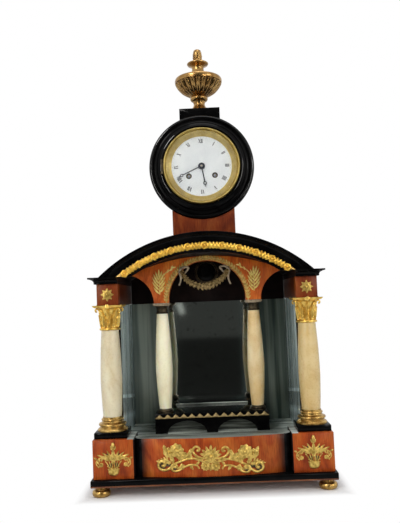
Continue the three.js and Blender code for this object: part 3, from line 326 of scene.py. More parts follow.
# %% [markdown]
# ## Finishes
# Old polished surfaces are never one colour. Most of the clock's finishes differ only in their two tones,
# how large the patches between them are, and how rough the surface is, so one recipe makes them: broad
# noise mixes the tones, finer noise breaks the gloss and raises a little relief. Noise reads Object
# coordinates, in metres, so its scale is one over the size of a patch, and a stretch along one direction
# turns patches into grain.

# %% the recipe
finishes = {}


def noise(tree, space, size, detail=4.0, rough=0.55, warp=0.0, stretch=(1, 1, 1)):
    turn = node(tree, "Mapping", {"Scale": stretch})
    values = {"Scale": 1 / (size * MM), "Detail": detail, "Roughness": rough, "Distortion": warp}
    made = node(tree, "TexNoise", values)
    wire(tree, (space.outputs["Object"], turn.inputs["Vector"]), (turn.outputs[0], made.inputs["Vector"]))
    return made.outputs["Fac"]


def gloss(tree, value, low, high):
    rough = spread(tree, value, (0.3, 0.7), (low, high))
    wire(tree, (rough, tree.nodes["Principled BSDF"].inputs["Roughness"]))


def relief(tree, value, depth, strength=0.5):
    made = node(tree, "Bump", {"Strength": strength, "Distance": depth * MM})
    wire(tree, (value, made.inputs["Height"]),
         (made.outputs["Normal"], tree.nodes["Principled BSDF"].inputs["Normal"]))


def start_finish(name, metal=0.0, coat=0.0, specular=0.5):
    material = bpy.data.materials.new(name)
    material.use_nodes = True
    tree = material.node_tree
    shader = tree.nodes["Principled BSDF"]
    shader.inputs["Metallic"].default_value = metal
    shader.inputs["Coat Weight"].default_value = coat
    shader.inputs["Coat Roughness"].default_value = 0.12
    shader.inputs["Specular IOR Level"].default_value = specular
    finishes[name] = material
    return tree, node(tree, "TexCoord"), shader


def mottled(name, dark, light, patch, speck, rough, metal=0.0, depth=0.1, stretch=(1, 1, 1), specular=0.5):
    tree, space, shader = start_finish(name, metal, 0.0, specular)
    broad = noise(tree, space, patch, 6, 0.6, 0.4, stretch)
    fine = noise(tree, space, speck, 3, 0.6, 0.0, stretch)
    wire(tree, (ramp(tree, broad, [(0.34, dark), (0.66, light)]), shader.inputs["Base Color"]))
    gloss(tree, fine, *rough)
    relief(tree, fine, depth)


BLACKS = (0.001, 0.001, 0.0012), (0.004, 0.0038, 0.0038)
mottled("black_lacquer", *BLACKS, 30, 3, (0.06, 0.12), depth=0.006, specular=0.06)
mottled("polished_black", *BLACKS, 30, 3, (0.03, 0.06), depth=0.003)
# A near-black brown that paints the shade on faces inside the niche, under the roof and at the cornices'
# inner ends.
mottled("recess_painted_shade", (0.006, 0.004, 0.0038), (0.016, 0.0085, 0.0075), 26, 2, (0.45, 0.6), 0, 0.01,
        specular=0.1)
mottled("worn_edge", (0.09, 0.03, 0.015), (0.24, 0.09, 0.04), 9, 1.2, (0.45, 0.6), 0, 0.04, (0.3, 1, 1), 0.2)
print(len(finishes), "dark finishes")

# %% [markdown]
# Gilding on carved wood is bright and warm, on the mounts and the urn it is browner, with painted shade in
# the hollows, and on the bezel it is pale. The leaf sprays take a lighter, less metallic copy, painted light
# against the shade of the arch. The arch trim, garland and zigzag have lost most of their shine.

# %% gilding
mottled("leaf_gilding", (0.56, 0.32, 0.055), (0.96, 0.7, 0.19), 7, 0.8, (0.24, 0.42), 0.95, 0.08)
mottled("band_gilding", (0.6, 0.3, 0.03), (1.0, 0.66, 0.11), 6, 0.8, (0.28, 0.46), 0.8, 0.08)
# A lighter copy of the gilding, painted light on the sprays against the arch's shade.
mottled("painted_light_spray_gilding", (0.74, 0.5, 0.1), (1.0, 0.9, 0.34), 4, 0.8, (0.3, 0.46), 0.4, 0.08)
mottled("dull_gilding", (0.16, 0.11, 0.045), (0.42, 0.31, 0.13), 5, 0.7, (0.42, 0.58), 0.55, 0.06)
mottled("aged_gilding", (0.24, 0.125, 0.03), (0.6, 0.4, 0.13), 8, 0.9, (0.22, 0.4), 1.0, 0.08)
mottled("worn_gilding", (0.2, 0.1, 0.028), (0.47, 0.29, 0.105), 14, 1.6, (0.22, 0.32), 1.0, 0.015)
# Painted shade for the urn's grooves.
mottled("groove_painted_shade", (0.045, 0.026, 0.011), (0.14, 0.078, 0.027), 9, 1.4, (0.3, 0.42), 1.0, 0.02)
mottled("gilt_mount", (0.31, 0.19, 0.034), (0.82, 0.59, 0.16), 4, 0.7, (0.3, 0.46), 0.85, 0.08)
mottled("worn_mount", (0.08, 0.05, 0.02), (0.56, 0.4, 0.17), 3, 0.7, (0.38, 0.55), 0.8, 0.08)
mottled("pale_gilding", (0.2, 0.155, 0.1), (0.52, 0.41, 0.28), 4, 0.7, (0.4, 0.56), 0.5, 0.05)
mottled("matt_gilding", (0.36, 0.23, 0.05), (0.8, 0.56, 0.16), 5, 0.7, (0.42, 0.58), 0.55, 0.06)
mottled("bezel_gilt", (0.43, 0.31, 0.085), (0.62, 0.47, 0.15), 14, 0.5, (0.36, 0.5), 0.9, 0.04)
print(len(finishes), "finishes so far")

# %% metals, enamel and old plate
mottled("dark_bronze", (0.03, 0.024, 0.016), (0.11, 0.085, 0.05), 6, 0.8, (0.3, 0.5), 0.9, 0.08)
mottled("blued_steel", (0.012, 0.013, 0.018), (0.03, 0.032, 0.045), 6, 0.5, (0.24, 0.36), 0.9, 0.02)
mottled("movement_brass", (0.6, 0.42, 0.15), (0.8, 0.6, 0.26), 12, 0.5, (0.22, 0.36), 1.0, 0.03)
mottled("movement_steel", (0.32, 0.32, 0.33), (0.5, 0.5, 0.51), 10, 0.4, (0.2, 0.34), 1.0, 0.02)
mottled("enamel", (0.86, 0.89, 0.9), (0.93, 0.96, 0.96), 18, 2, (0.1, 0.18), 0, 0.01)
mottled("dial_paint", (0.006, 0.006, 0.008), (0.02, 0.02, 0.025), 3, 0.4, (0.35, 0.5), 0, 0.01)
# A pale plate used as a painted highlight under the bridge's arches and along the mirror's foot.
mottled("painted_highlight_plate", (0.1, 0.115, 0.1), (0.7, 0.76, 0.68), 3.2, 2, (0.2, 0.36), 0, 0.02, (0.06, 1, 1), 0.25)
# A streaked plate painted with the reflection seen through the bridge's arches.
mottled("painted_reflection_plate", (0.006, 0.007, 0.006), (0.15, 0.165, 0.14), 2.6, 2, (0.2, 0.36), 0, 0.02,
        (0.05, 1, 1), 0.25)
print(len(finishes), "mottled finishes")

# %% [markdown]
# ## Veneer
# The warm faces are mahogany veneer, sawn so that the figure runs up and down in soft flames, with short
# dark pores. An image could be laid on them, but noise stretched along the height gives the flame, and a
# second one, stretched far more, gives the pores. A thin coat stands for the shellac polish. The bow's
# veneer has painted shade: it fades to black towards its ends, where the bow turns away, and grows a
# little darker towards the right. Lighter and darker copies of the mahogany paint light and shade on
# other parts.

# %% mahogany
def across(tree, space, reach, values=(0, 1), both_ways=True):
    split = node(tree, "SeparateXYZ")
    wire(tree, (space.outputs["Object"], split.inputs[0]))
    away = split.outputs["X"]
    if both_ways:
        size = node(tree, "Math", operation="ABSOLUTE")
        wire(tree, (away, size.inputs[0]))
        away = size.outputs[0]
    return spread(tree, away, (reach[0] * MM, reach[1] * MM), values, both_ways)


def mahogany(name, deep, middle, light, painted_shade_ends=None):
    tree, space, shader = start_finish(name, 0.0, 0.03, 0.14)
    flame = noise(tree, space, 34, 5, 0.55, 1.6, (1, 1, 0.42))
    pores = noise(tree, space, 1.1, 3, 0.6, 0.0, (1, 1, 0.07))
    figure = ramp(tree, flame, [(0.28, deep), (0.48, middle), (0.7, light)])
    streak = ramp(tree, pores, [(0.36, (0.55, 0.5, 0.48)), (0.56, (1, 1, 1))])
    shade = mixed(tree, 0.75, figure, streak, "MULTIPLY")
    # Painted shade: darker towards the bow's turned ends, and a little darker towards the right.
    if painted_shade_ends:
        shade = mixed(tree, 1.0, shade, across(tree, space, painted_shade_ends, (1, 0.07)), "MULTIPLY")
        shade = mixed(tree, 1.0, shade, across(tree, space, (-85, 85), (1.1, 0.78), False), "MULTIPLY")
    wire(tree, (shade, shader.inputs["Base Color"]))
    gloss(tree, pores, 0.42, 0.28)
    relief(tree, pores, 0.05, 0.4)


mahogany("mahogany", (0.18, 0.024, 0.005), (0.36, 0.06, 0.009), (0.48, 0.125, 0.02))
# Darker and lighter copies of the mahogany paint shade and light: the darker one under the drum and the
# cornices, the lighter one on the tympanum against the arch's shade, and the darkest on the friezes' faces
# inside the niche.
mahogany("painted_shade_mahogany", (0.09, 0.012, 0.004), (0.19, 0.034, 0.007), (0.28, 0.075, 0.016))
mahogany("painted_light_mahogany", (0.34, 0.052, 0.009), (0.64, 0.13, 0.019), (0.82, 0.26, 0.042))
mahogany("bow_mahogany", (0.19, 0.025, 0.005), (0.37, 0.06, 0.009), (0.48, 0.125, 0.02), (83, 99))
mahogany("niche_painted_shade_mahogany", (0.03, 0.006, 0.003), (0.075, 0.015, 0.005), (0.12, 0.032, 0.009))
print("mahogany in five depths")

# %% [markdown]
# ## Alabaster
# The columns are alabaster, a soft stone that lets light a little way in and has warm cloudy patches and
# thin veins. Light scattering under the surface softens its shading. The veins are the thin middle band of
# a second noise, and the right-hand columns are the deeper honey colour that the photograph shows.

# %% alabaster
def alabaster(name, pale, warm, vein):
    tree, space, shader = start_finish(name)
    shader.inputs["Subsurface Weight"].default_value = 0.25
    shader.inputs["Subsurface Radius"].default_value = (0.006, 0.004, 0.002)
    shader.inputs["Subsurface Scale"].default_value = 1.0
    cloud = noise(tree, space, 42, 3, 0.5, 0.6, (1, 1, 0.6))
    fine = noise(tree, space, 2.5, 3)
    crack = noise(tree, space, 64, 5, 0.55, 0.9, (1, 1, 0.5))
    tone = ramp(tree, cloud, [(0.28, warm), (0.66, pale)])
    line = ramp(tree, crack, [(0.45, (1, 1, 1)), (0.5, vein), (0.54, (1, 1, 1))])
    wire(tree, (mixed(tree, 0.28, tone, line, "MULTIPLY"), shader.inputs["Base Color"]))
    gloss(tree, fine, 0.24, 0.36)
    relief(tree, fine, 0.03, 0.3)


alabaster("pale_alabaster", (0.76, 0.7, 0.52), (0.62, 0.53, 0.34), (0.72, 0.58, 0.42))
alabaster("white_alabaster", (0.94, 0.89, 0.66), (0.84, 0.76, 0.49), (0.8, 0.7, 0.52))
alabaster("honey_alabaster", (0.67, 0.53, 0.27), (0.56, 0.37, 0.12), (0.7, 0.52, 0.3))
alabaster("gold_alabaster", (0.86, 0.72, 0.44), (0.74, 0.52, 0.22), (0.74, 0.56, 0.34))
print("alabaster in four tones")

# %% [markdown]
# ## The back mirror
# The niche is lined with old silvered plate: a little dark, slightly wavy and spotted where the silver has
# turned. It is a metal with low roughness, and noise dulls it in spots. Beyond the inner columns the plate
# is hazy, and what it reflects there is painted into its colour as upright bands, a painted reflection
# that is paler at the left than at the right.

# %% back mirror
HAZE = (56, 74)
tree, space, shader = start_finish("mirror", 1.0)
silver = ramp(tree, noise(tree, space, 9, 6, 0.7), [(0.3, (0.34, 0.36, 0.35)), (0.42, (0.64, 0.69, 0.67))])
bands = noise(tree, space, 13, 3, 0.55, 0.3, (1, 1, 0.03))
# Painted reflection: upright bands of the room, paler on the left side than on the right.
left_painted_reflection = ramp(tree, bands, [(0.34, (0.16, 0.19, 0.175)), (0.62, (0.46, 0.5, 0.44))])
right_painted_reflection = ramp(tree, bands, [(0.34, (0.08, 0.105, 0.095)), (0.62, (0.38, 0.43, 0.37))])
hazy_painted_reflection = mixed(tree, across(tree, space, (-50, 50), both_ways=False), left_painted_reflection, right_painted_reflection)
wire(tree, (mixed(tree, across(tree, space, HAZE), silver, hazy_painted_reflection), shader.inputs["Base Color"]),
     (across(tree, space, HAZE, (0.05, 0.4)), shader.inputs["Roughness"]))
relief(tree, noise(tree, space, 60, 1), 0.15, 0.2)
print("back mirror")

# %% [markdown]
# ## The floor plate and the side mirrors
# The floor of the niche is a grey-green plate, streaked from side to side, and painted lighter at its ends
# as a reflection. The side mirrors have gone hazy, and the room's light is painted into them as level bands,
# a painted reflection. Seen from the front these bands slope with depth, so their height is read a little
# askew, and upright streaks cross them.

# %% floor plate
tree, space, shader = start_finish("niche_plate", 0.0, 0.0, 0.25)
bands = noise(tree, space, 9, 6, 0.6, 0.4, (0.1, 1, 1))
# The plate's greys are painted lighter against the niche's shade, and towards its ends lighter still, a
# painted reflection.
dusk = ramp(tree, bands, [(0.34, (0.055, 0.062, 0.055)), (0.66, (0.26, 0.29, 0.26))])
painted_reflection_ends = ramp(tree, bands, [(0.34, (0.24, 0.27, 0.25)), (0.66, (0.85, 0.92, 0.86))])
wire(tree, (mixed(tree, across(tree, space, (88, 122)), dusk, painted_reflection_ends), shader.inputs["Base Color"]))
gloss(tree, bands, 0.2, 0.36)
print("floor plate")

# %% side mirrors
LOWEST, HIGHEST, SLOPE = 60, 270, 0.137
# Painted reflection: the heights and brightnesses of the room's light as the side mirrors show it.
PAINTED_ROOM_REFLECTION = [(66, 0.85), (84, 0.6), (94, 1.0), (101, 0.42), (120, 0.36), (121, 1.0), (125, 1.0), (126, 0.5),
              (160, 0.62), (215, 0.72), (244, 0.8), (262, 1.0)]
tree, space, shader = start_finish("hazy_mirror_painted_reflection", 0.35, 0.0, 0.3)
level = node(tree, "VectorMath", {1: (0, SLOPE, 1)}, operation="DOT_PRODUCT")
wire(tree, (space.outputs["Object"], level.inputs[0]))
stops = []
for height, bright in PAINTED_ROOM_REFLECTION:
    stops.append(((height - LOWEST) / (HIGHEST - LOWEST), (0.82 * bright, 0.98 * bright, bright)))
lights = ramp(tree, spread(tree, level.outputs["Value"], (LOWEST * MM, HIGHEST * MM)), stops)
bands = noise(tree, space, 10, 4, 0.6, 0.5, (1, 1, 0.04))
streaks = ramp(tree, bands, [(0.3, (0.36, 0.42, 0.42)), (0.62, (1, 1, 1))])
wire(tree, (mixed(tree, 1.0, lights, streaks, "MULTIPLY"), shader.inputs["Base Color"]))
gloss(tree, bands, 0.2, 0.34)
print("side mirrors")

# %% [markdown]
# ## The dial's glass
# The glass over the dial is clear and thin, with the faint smears of an old hand-wiped pane.

# %% glass finish
tree, space, shader = start_finish("clock_glass", specular=0.15)
shader.inputs["Transmission Weight"].default_value = 1.0
shader.inputs["IOR"].default_value = 1.46
smear = noise(tree, space, 12, 4)
wire(tree, (ramp(tree, smear, [(0.3, (0.97, 0.98, 0.98)), (0.7, (1, 1, 1))]), shader.inputs["Base Color"]))
gloss(tree, smear, 0.0, 0.03)
print(len(finishes), "finishes in all")

# %% [markdown]
# ## The solids' own finishes
# Solids whose shape is already right stay as they are and only change their finish, which goes into the
# object's material slot. The record names a slot for each node. Most slots have a finish of the same name,
# and one table gives the finishes of the others.

# %% dress the solids
slot_finish = {
    "ebonised": "black_lacquer", "gilt_wood": "leaf_gilding", "antique_gilt": "worn_gilding",
    "alabaster": "pale_alabaster", "gilt_brass": "bezel_gilt",
}
own_finish = {
    "niche_floor": "niche_plate", "side_mirror_left": "hazy_mirror_painted_reflection", "side_mirror_right": "hazy_mirror_painted_reflection",
    "pendulum": "black_lacquer",
}
node_slot = {row["node"]: row["material_slot"] for row in frame["record"]["subparts"]}
for name, solid in frame["nodes"].items():
    slot = node_slot[name]
    finish = own_finish.get(name, slot_finish.get(slot, slot))
    solid.data.materials.clear()
    solid.data.materials.append(finishes[finish])
print(len(node_slot), "solids dressed")

# %% [markdown]
# ## Putting a piece in place
# Each piece is drawn in millimetres in the frame's place, so it needs no moving afterwards. One helper
# merges its points, turns its faces outwards, gives it its finishes, hangs it on the body it rides on and
# hides the solid it stands in for. Small ones move points, list the points that a step has added, add a
# block, cut along a plane and choose a finish for each face.

# %% put a piece in place
MERGE = 0.003


def put(name, bm, finish, nodes=(), body="case", crease=30):
    bmesh.ops.remove_doubles(bm, verts=bm.verts, dist=MERGE)
    bmesh.ops.recalc_face_normals(bm, faces=bm.faces)
    bmesh.ops.scale(bm, vec=(MM, MM, MM), verts=bm.verts)
    mesh = bpy.data.meshes.new(name)
    bm.to_mesh(mesh)
    bm.free()
    mesh.shade_smooth()
    mesh.set_sharp_from_angle(angle=math.radians(crease))
    for one in ([finish] if isinstance(finish, str) else finish):
        mesh.materials.append(finishes[one])
    piece = bpy.data.objects.new(name, mesh)
    bpy.context.scene.collection.objects.link(piece)
    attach(piece, body)
    if nodes:
        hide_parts(*nodes)
    print(name, len(mesh.polygons), "faces")


def move(bm, matrix, verts=None):
    bmesh.ops.transform(bm, matrix=matrix, verts=bm.verts if verts is None else verts)


def added(bm, old):
    return [v for v in bm.verts if v not in old]


def block(bm, size, place):
    made = bmesh.ops.create_cube(bm, size=1)["verts"]
    bmesh.ops.scale(bm, vec=size, verts=made)
    bmesh.ops.translate(bm, vec=place, verts=made)


def cut(bm, place, facing, clear=False):
    every = bm.verts[:] + bm.edges[:] + bm.faces[:]
    bmesh.ops.bisect_plane(bm, geom=every, plane_co=place, plane_no=facing, clear_outer=clear)


def tint(bm, which):
    for face in bm.faces:
        face.material_index = int(which(face.calc_center_median(), face.normal))


print("helpers for pieces ready")

# %% [markdown]
# ## Joiner's work with eased edges
# Boards, blocks and walls are right as solids, but a saw-sharp edge never catches the light. A cabinetmaker
# takes the edge off with a stroke of sandpaper, and that thin bright line is most of what makes wood look
# real. Each such solid is copied, its loose triangles are merged and joined back into flat faces, and the
# sharp edges are bevelled.

# %% eased copies
def copied(solid):
    bm = bmesh.new()
    bm.from_mesh(frame["nodes"][solid].data)
    bmesh.ops.scale(bm, vec=(1 / MM, 1 / MM, 1 / MM), verts=bm.verts)
    bmesh.ops.remove_doubles(bm, verts=bm.verts, dist=MERGE)
    bmesh.ops.dissolve_limit(bm, angle_limit=math.radians(0.5), verts=bm.verts, edges=bm.edges)
    return bm


def ease(bm, width, segments=2, over=28):
    sharp = [e for e in bm.edges if e.is_manifold and e.calc_face_angle() > math.radians(over)]
    bmesh.ops.bevel(bm, geom=sharp, offset=width, offset_type="OFFSET", segments=segments, profile=0.5,
                    affect="EDGES", clamp_overlap=True, material=-1)


def eased(solid, width, finish=None, which=None, cut_at=None):
    bm = copied(solid)
    ease(bm, width)
    if cut_at:
        cut(bm, *cut_at)
    bm.normal_update()
    if which:
        tint(bm, which)
    slot = node_slot[solid]
    put("eased_" + solid, bm, finish or slot_finish.get(slot, slot), [solid], body_of_node[solid])


body_of_node = {n: b for b, group in frame["record"]["behaviour"]["bodies"].items() for n in group}
edge_widths = {
    "column_slab_left": 0.8, "column_slab_right": 0.8, "bridge_stand": 0.7, "urn_block": 0.8,
    "drum_rear_door": 0.5, "hour_hand": 0.16, "minute_hand": 0.16,
}
for solid, width in edge_widths.items():
    eased(solid, width)
# The back wall is painted near-black, as the niche's shade.
eased("back_wall", 0.5, "recess_painted_shade")
# The tympanum takes the lighter mahogany, painted light against the arch's shade, and the neck the darker
# one, painted shade under the drum.
eased("tympanum", 0.6, "painted_light_mahogany")
eased("neck_case", 0.7, "painted_shade_mahogany")

# %% [markdown]
# ## Plinth and pedestals
# The plinth's polish is worn to brown wood along its lower edge, where hands lift the clock. On the
# pedestals the veneer stops at the niche: the inner face is painted near-black as the niche's shade, and
# the top beside the column's slab is plated like the floor of the niche. The copies are cut along these
# lines, so that each part can take its own finish.

# %% plinth
WORN = 2.2
worn_line = corners("plinth_board")[0].z + WORN
eased("plinth_board", 1.0, ["black_lacquer", "worn_edge"], lambda middle, normal: middle.z < worn_line,
      ((0, 0, worn_line), (0, 0, 1)))

# %% pedestals
PAINTED_SHADE_EDGE = 0.6


def pedestal_finish(middle, normal):
    away = abs(middle.x)
    beside_slab = normal.z > 0.7 and away < abs(slab_edge)
    # Faces inside the niche are painted near-black as shade.
    return 2 if beside_slab else away < inner_face


for label in SIDES:
    slab_edge = inner_side(f"column_slab_{label}")
    inner_face = abs(inner_side(f"pedestal_{label}")) + PAINTED_SHADE_EDGE
    eased(f"pedestal_{label}", 0.7, ["mahogany", "recess_painted_shade", "niche_plate"], pedestal_finish,
          ((slab_edge, 0, 0), (1, 0, 0)))

# %% [markdown]
# ## Roof and winding barrels
# The vaulted roof is polished black outside and painted dull near-black beneath, as shade. The winding
# barrels are brass, and the squares of their arbors, which show in the dial's two holes, are steel.

# %% roof and barrels
eased("vault_roof", 0.5, ["black_lacquer", "recess_painted_shade"], lambda middle, normal: normal.z < -0.2)
ARBOR_SQUARE = -31
for solid in ("going_barrel", "strike_barrel"):
    bm = copied(solid)
    tint(bm, lambda middle, normal: middle.y < ARBOR_SQUARE)
    put(f"wound_{solid}", bm, ["movement_brass", "movement_steel"], [solid],
        body_of_node[solid])

# %% [markdown]
# ## Side walls, friezes and cornices
# The side walls are veneered outside and painted near-black, as shade, on the faces that look into the
# niche. The friezes above are a darker copy of the mahogany, painted shade under the cornices, and darker
# still, a deeper painted shade, where they pass back into the niche. The cornices have a hollow underside, a
# cove, which a joiner planes with a round-soled plane. The solid has as many rows of points as the cove
# needs, so each row is moved out from the frieze and up to its place on the cove.

# %% side walls and friezes
WALL_EDGE, FRIEZE_EDGE, LIT_END = 0.8, 0.9, 18.5
for label in SIDES:
    solid = f"side_wall_{label}"
    front = corners(solid)[0].y + WALL_EDGE
    inner = abs(inner_side(solid)) + WALL_EDGE
    # The wall's faces inside the niche are painted near-black as shade.
    eased(solid, 0.6, ["mahogany", "recess_painted_shade"],
          lambda middle, normal: middle.y < front or abs(middle.x) < inner)
for label in SIDES:
    solid = f"frieze_{label}"
    painted_shade_from = corners(solid)[0].y + LIT_END
    inner = abs(inner_side(solid)) + FRIEZE_EDGE
    # The frieze is painted shade in a darker mahogany, and its inner faces beyond the lit end a deeper
    # painted shade.
    eased(solid, 0.6, ["painted_shade_mahogany", "niche_painted_shade_mahogany"],
          lambda middle, normal: abs(middle.x) < inner and middle.y > painted_shade_from,
          ((0, painted_shade_from, 0), (0, 1, 0)))

# %% cornices
COVE = [(3.2, 0), (3.2, 2.2), (3.6, 3.8), (5.0, 5.4), (8.0, 6.7), (10.7, 7.3), (10.7, 9.5)]
CLEAR, PAINTED_SHADE_REACH = 0.5, 4.5
for label in SIDES:
    solid = f"cornice_{label}"
    bm = copied(solid)
    frieze_low, frieze_high = corners(f"frieze_{label}")
    frieze_side = max(abs(frieze_low.x), abs(frieze_high.x))
    rows = sorted({round(v.co.z, 2) for v in bm.verts})
    for v in bm.verts:
        out, up = COVE[rows.index(round(v.co.z, 2))]
        if abs(v.co.x) > frieze_side + CLEAR:
            v.co.x = math.copysign(frieze_side + out, v.co.x)
        if v.co.y < frieze_low.y - CLEAR:
            v.co.y = frieze_low.y - out
        v.co.z = frieze_high.z + up
    ease(bm, 0.35)
    bm.normal_update()
    # The cornice's inner end faces are painted near-black as shade.
    inner = abs(inner_side(solid)) + PAINTED_SHADE_REACH
    tint(bm, lambda middle, normal: abs(middle.x) < inner and normal.y > -0.5 and normal.z < 0.5)
    put("eased_" + solid, bm, ["black_lacquer", "recess_painted_shade"], [solid])

# %% [markdown]
# ## The bow front
# The drawer-like front swells gently between the pedestals. Its turned-back ends are black, and painted
# shade fades its veneer into them. Its top carries the niche's floor plate to the front edge. The eased
# copy takes one finish for the faces that turn away and one for those along the top.

# %% bow front
BOW_TURN = 97.5
bow_low, bow_high = corners("bow_front")


def bow_finish(middle, normal):
    if abs(middle.x) > BOW_TURN or normal.y > 0.5:
        return 1
    return 2 if middle.z > bow_high.z - 0.1 else 0


eased("bow_front", 0.6, ["bow_mahogany", "black_lacquer", "niche_plate"], bow_finish)

# %% [markdown]
# ## Turned pieces
# Feet, bases, shafts, drum, bezel and urn came off a lathe. In Blender the lathe is the spin operator: a
# line of points is the turner's profile, and one full spin with its ends merged makes the piece. A smooth
# line through a few points saves writing out every point of a curve.

# %% the lathe
# Profiles are pairs of radius and height. A turned piece that faces the viewer has its axis along y.
def smooth_line(points, parts=4):
    line = []
    for i in range(len(points) - 1):
        four = [points[max(i - 1, 0)], points[i], points[i + 1], points[min(i + 2, len(points) - 1)]]
        for k in range(parts):
            t = k / parts
            line.append(tuple(b + 0.5 * ((c - a) * t + (2 * a - 5 * b + 4 * c - d) * t ** 2
                                         + (3 * b - a - 3 * c + d) * t ** 3) for a, b, c, d in zip(*four)))
    return line + [tuple(points[-1])]


FACING = Matrix.Rotation(math.radians(90), 4, "X")


def turn(bm, profile, steps=64, at=(0, 0, 0), facing=False, part=math.tau, start=0.0):
    old = set(bm.verts)
    dots = [bm.verts.new((radius, 0, height)) for radius, height in profile]
    lines = [bm.edges.new(pair) for pair in zip(dots, dots[1:])]
    bmesh.ops.rotate(bm, verts=dots, cent=(0, 0, 0), matrix=Matrix.Rotation(start, 3, "Z"))
    bmesh.ops.spin(bm, geom=dots + lines, axis=(0, 0, 1), cent=(0, 0, 0), angle=part, steps=steps,
                   use_merge=part == math.tau)
    made = added(bm, old)
    move(bm, Matrix.Translation(at) @ (FACING if facing else Matrix.Identity(4)), made)
    return made


def turned(name, profile, steps, at, finish, slot, nodes=()):
    bm = bmesh.new()
    turn(bm, profile, steps, at)
    put(name, bm, finish, nodes)


print("lathe ready")

# %% feet
bun = [(0, 0), (8.6, 0)] + smooth_line([(8.6, 0), (11.6, 1.2), (12.8, 4.6), (11.8, 8), (8.8, 9.8)])
foot_neck = smooth_line([(7.4, 10.6), (7, 11.8), (7.6, 12.8)], 3)
foot = bun + [(8.8, 10.2)] + foot_neck + [(8.4, 13), (8.4, 14), (0, 14)]
for end in ("front", "rear"):
    for label in SIDES:
        solid = f"foot_{end}_{label}"
        turned(f"bun_{solid}", foot, 48, seat(solid), "aged_gilding", "gilt_wood", [solid])

# %% [markdown]
# ## Column bases and shafts
# The outer columns stand on gilt bases of two rounds with a hollow between them. Their shafts swell a
# little below the middle, as classical shafts do, and narrow towards the capital.

# %% column bases and shafts
lower_round = smooth_line([(17.4, 6.2), (19, 6.9), (19.6, 8.4), (19, 9.9), (17.2, 10.6)], 3)
upper_round = smooth_line([(14.6, 13.4), (15.5, 14), (15.8, 15), (15.4, 16), (14.4, 16.6)], 3)
base = [(0, 0), (21.4, 0), (21.4, 1.6)] + smooth_line([(21.4, 1.6), (20.6, 2.6), (18.6, 4.2), (17.4, 5.6)], 3)
base += lower_round + [(16.2, 11)] + smooth_line([(16.2, 11), (14.9, 12), (14.6, 13)], 3)
base += upper_round + [(13.8, 17), (13.6, 19), (0, 19)]
SHAFT = 121
swelling = [(13, 0), (14.1, 18), (15.1, 44), (15.15, 55), (14.3, 86), (12.6, 116), (12.3, SHAFT)]
shaft = [(0, 0), (13.0, 0)] + smooth_line(swelling, 6) + [(0, SHAFT)]
shaft_stone = {"left": "pale_alabaster", "right": "honey_alabaster"}
for label in SIDES:
    solid = f"column_base_{label}"
    turned(f"turned_base_{label}", base, 72, seat(solid), "aged_gilding", "gilt_wood", [solid])
for label in SIDES:
    solid = f"column_shaft_{label}"
    turned(f"alabaster_shaft_{label}", shaft, 72, seat(solid), shaft_stone[label], "alabaster", [solid])

# %% [markdown]
# ## Inner columns
# The two smaller columns stand on the bridge and carry the tympanum. Each is a slender alabaster spindle
# between a dark ring at its foot and a dark capital with a pale gilt plate on top, all turned but the
# square plate.

# %% inner columns
SPINDLE = 149
PLATE, PLATE_AT = (25, 25, 3), 163.3
swelling = [(8.5, 0), (10.6, 24), (12.6, 58), (12.75, 72), (11.4, 106), (8.9, 143), (8.5, SPINDLE)]
spindle = [(0, 0), (8.5, 0)] + smooth_line(swelling, 6) + [(0, SPINDLE)]
foot_ring = [(0, 0), (12.2, 0), (12.2, 1.6)] + smooth_line([(11.2, 2), (12, 3.2), (11.2, 4.6)], 3)
foot_ring += [(10.2, 5), (9.4, 6.4), (0, 6.4)]
cup = [(0, 0), (9.6, 0)] + smooth_line([(9.6, 0), (10.3, 1), (9.6, 2.2)], 3) + [(8.5, 2.6)]
cup += smooth_line([(8.5, 2.6), (8.6, 7), (9.4, 9.6), (11.6, 11.6)], 4) + [(11.6, 13), (0, 13)]
spindle_stone = {"left": "white_alabaster", "right": "gold_alabaster"}
for label in SIDES:
    solid = f"inner_column_{label}"
    at = seat(solid)
    turned(f"alabaster_spindle_{label}", spindle, 64, at, spindle_stone[label], "alabaster", [solid])
    turned(f"spindle_ring_{label}", foot_ring, 48, at, "dark_bronze", "dark_bronze")
    bm = bmesh.new()
    turn(bm, cup, 48, at + Vector((0, 0, SPINDLE)))
    block(bm, PLATE, at + Vector((0, 0, PLATE_AT)))
    ease(bm, 0.4, over=60)
    tint(bm, lambda middle, normal: middle.z > at.z + PLATE_AT - 2.1)
    put(f"spindle_capital_{label}", bm, ["dark_bronze", "pale_gilding"],
        [f"inner_capital_{label}"])

# %% [markdown]
# ## The drum
# The movement's case is a black drum with a stepped, polished face. Its mouldings are thin half-rounds and
# hollows that draw bright circles round the dial, so their crests are polished more than the rest. The face
# is a full spin; the shell behind it leaves a gap at the bottom, inside the neck, where the pendulum rod
# hangs through, so it is spun only part of the way round.

# %% drum
CENTRE = centre("dial").z
CRESTS = ((59.9, 60.9), (70.3, 71.3), (74.6, 75.7))
CREST_FRONT = -37.2
swell = smooth_line([(57.1, 43.2), (58.2, 45), (60.6, 45), (63.2, 43.6), (64.6, 42.8)], 4)
hollow = smooth_line([(65.4, 42.2), (66.6, 40.4), (68.6, 39.4), (70.4, 39.2)], 4)
rim = smooth_line([(71.2, 37.4), (73.2, 39.6), (75.6, 39.4), (77.4, 37.4), (77.8, 35.2)], 4)
face_ring = [(57.1, 38), (57.1, 43.2)] + swell + [(64.6, 42.2), (65.4, 42.2)] + hollow
face_ring += [(70.4, 38.2), (71.2, 37.4)] + rim
face_ring += [(77.8, 32.5), (70, 30.5), (62, 30.5), (52, 30), (52, 38), (57.1, 38)]
bm = bmesh.new()
turn(bm, face_ring, 128, (0, 0, CENTRE), True)
ROD_ROOM, SHELL_MIDDLE = 15, 66
gap = math.asin(ROD_ROOM / SHELL_MIDDLE)
shell = [(62, 30.5), (70, 30.5), (70, 10), (70, -54), (69, -55), (62, -55), (62, 30.5)]
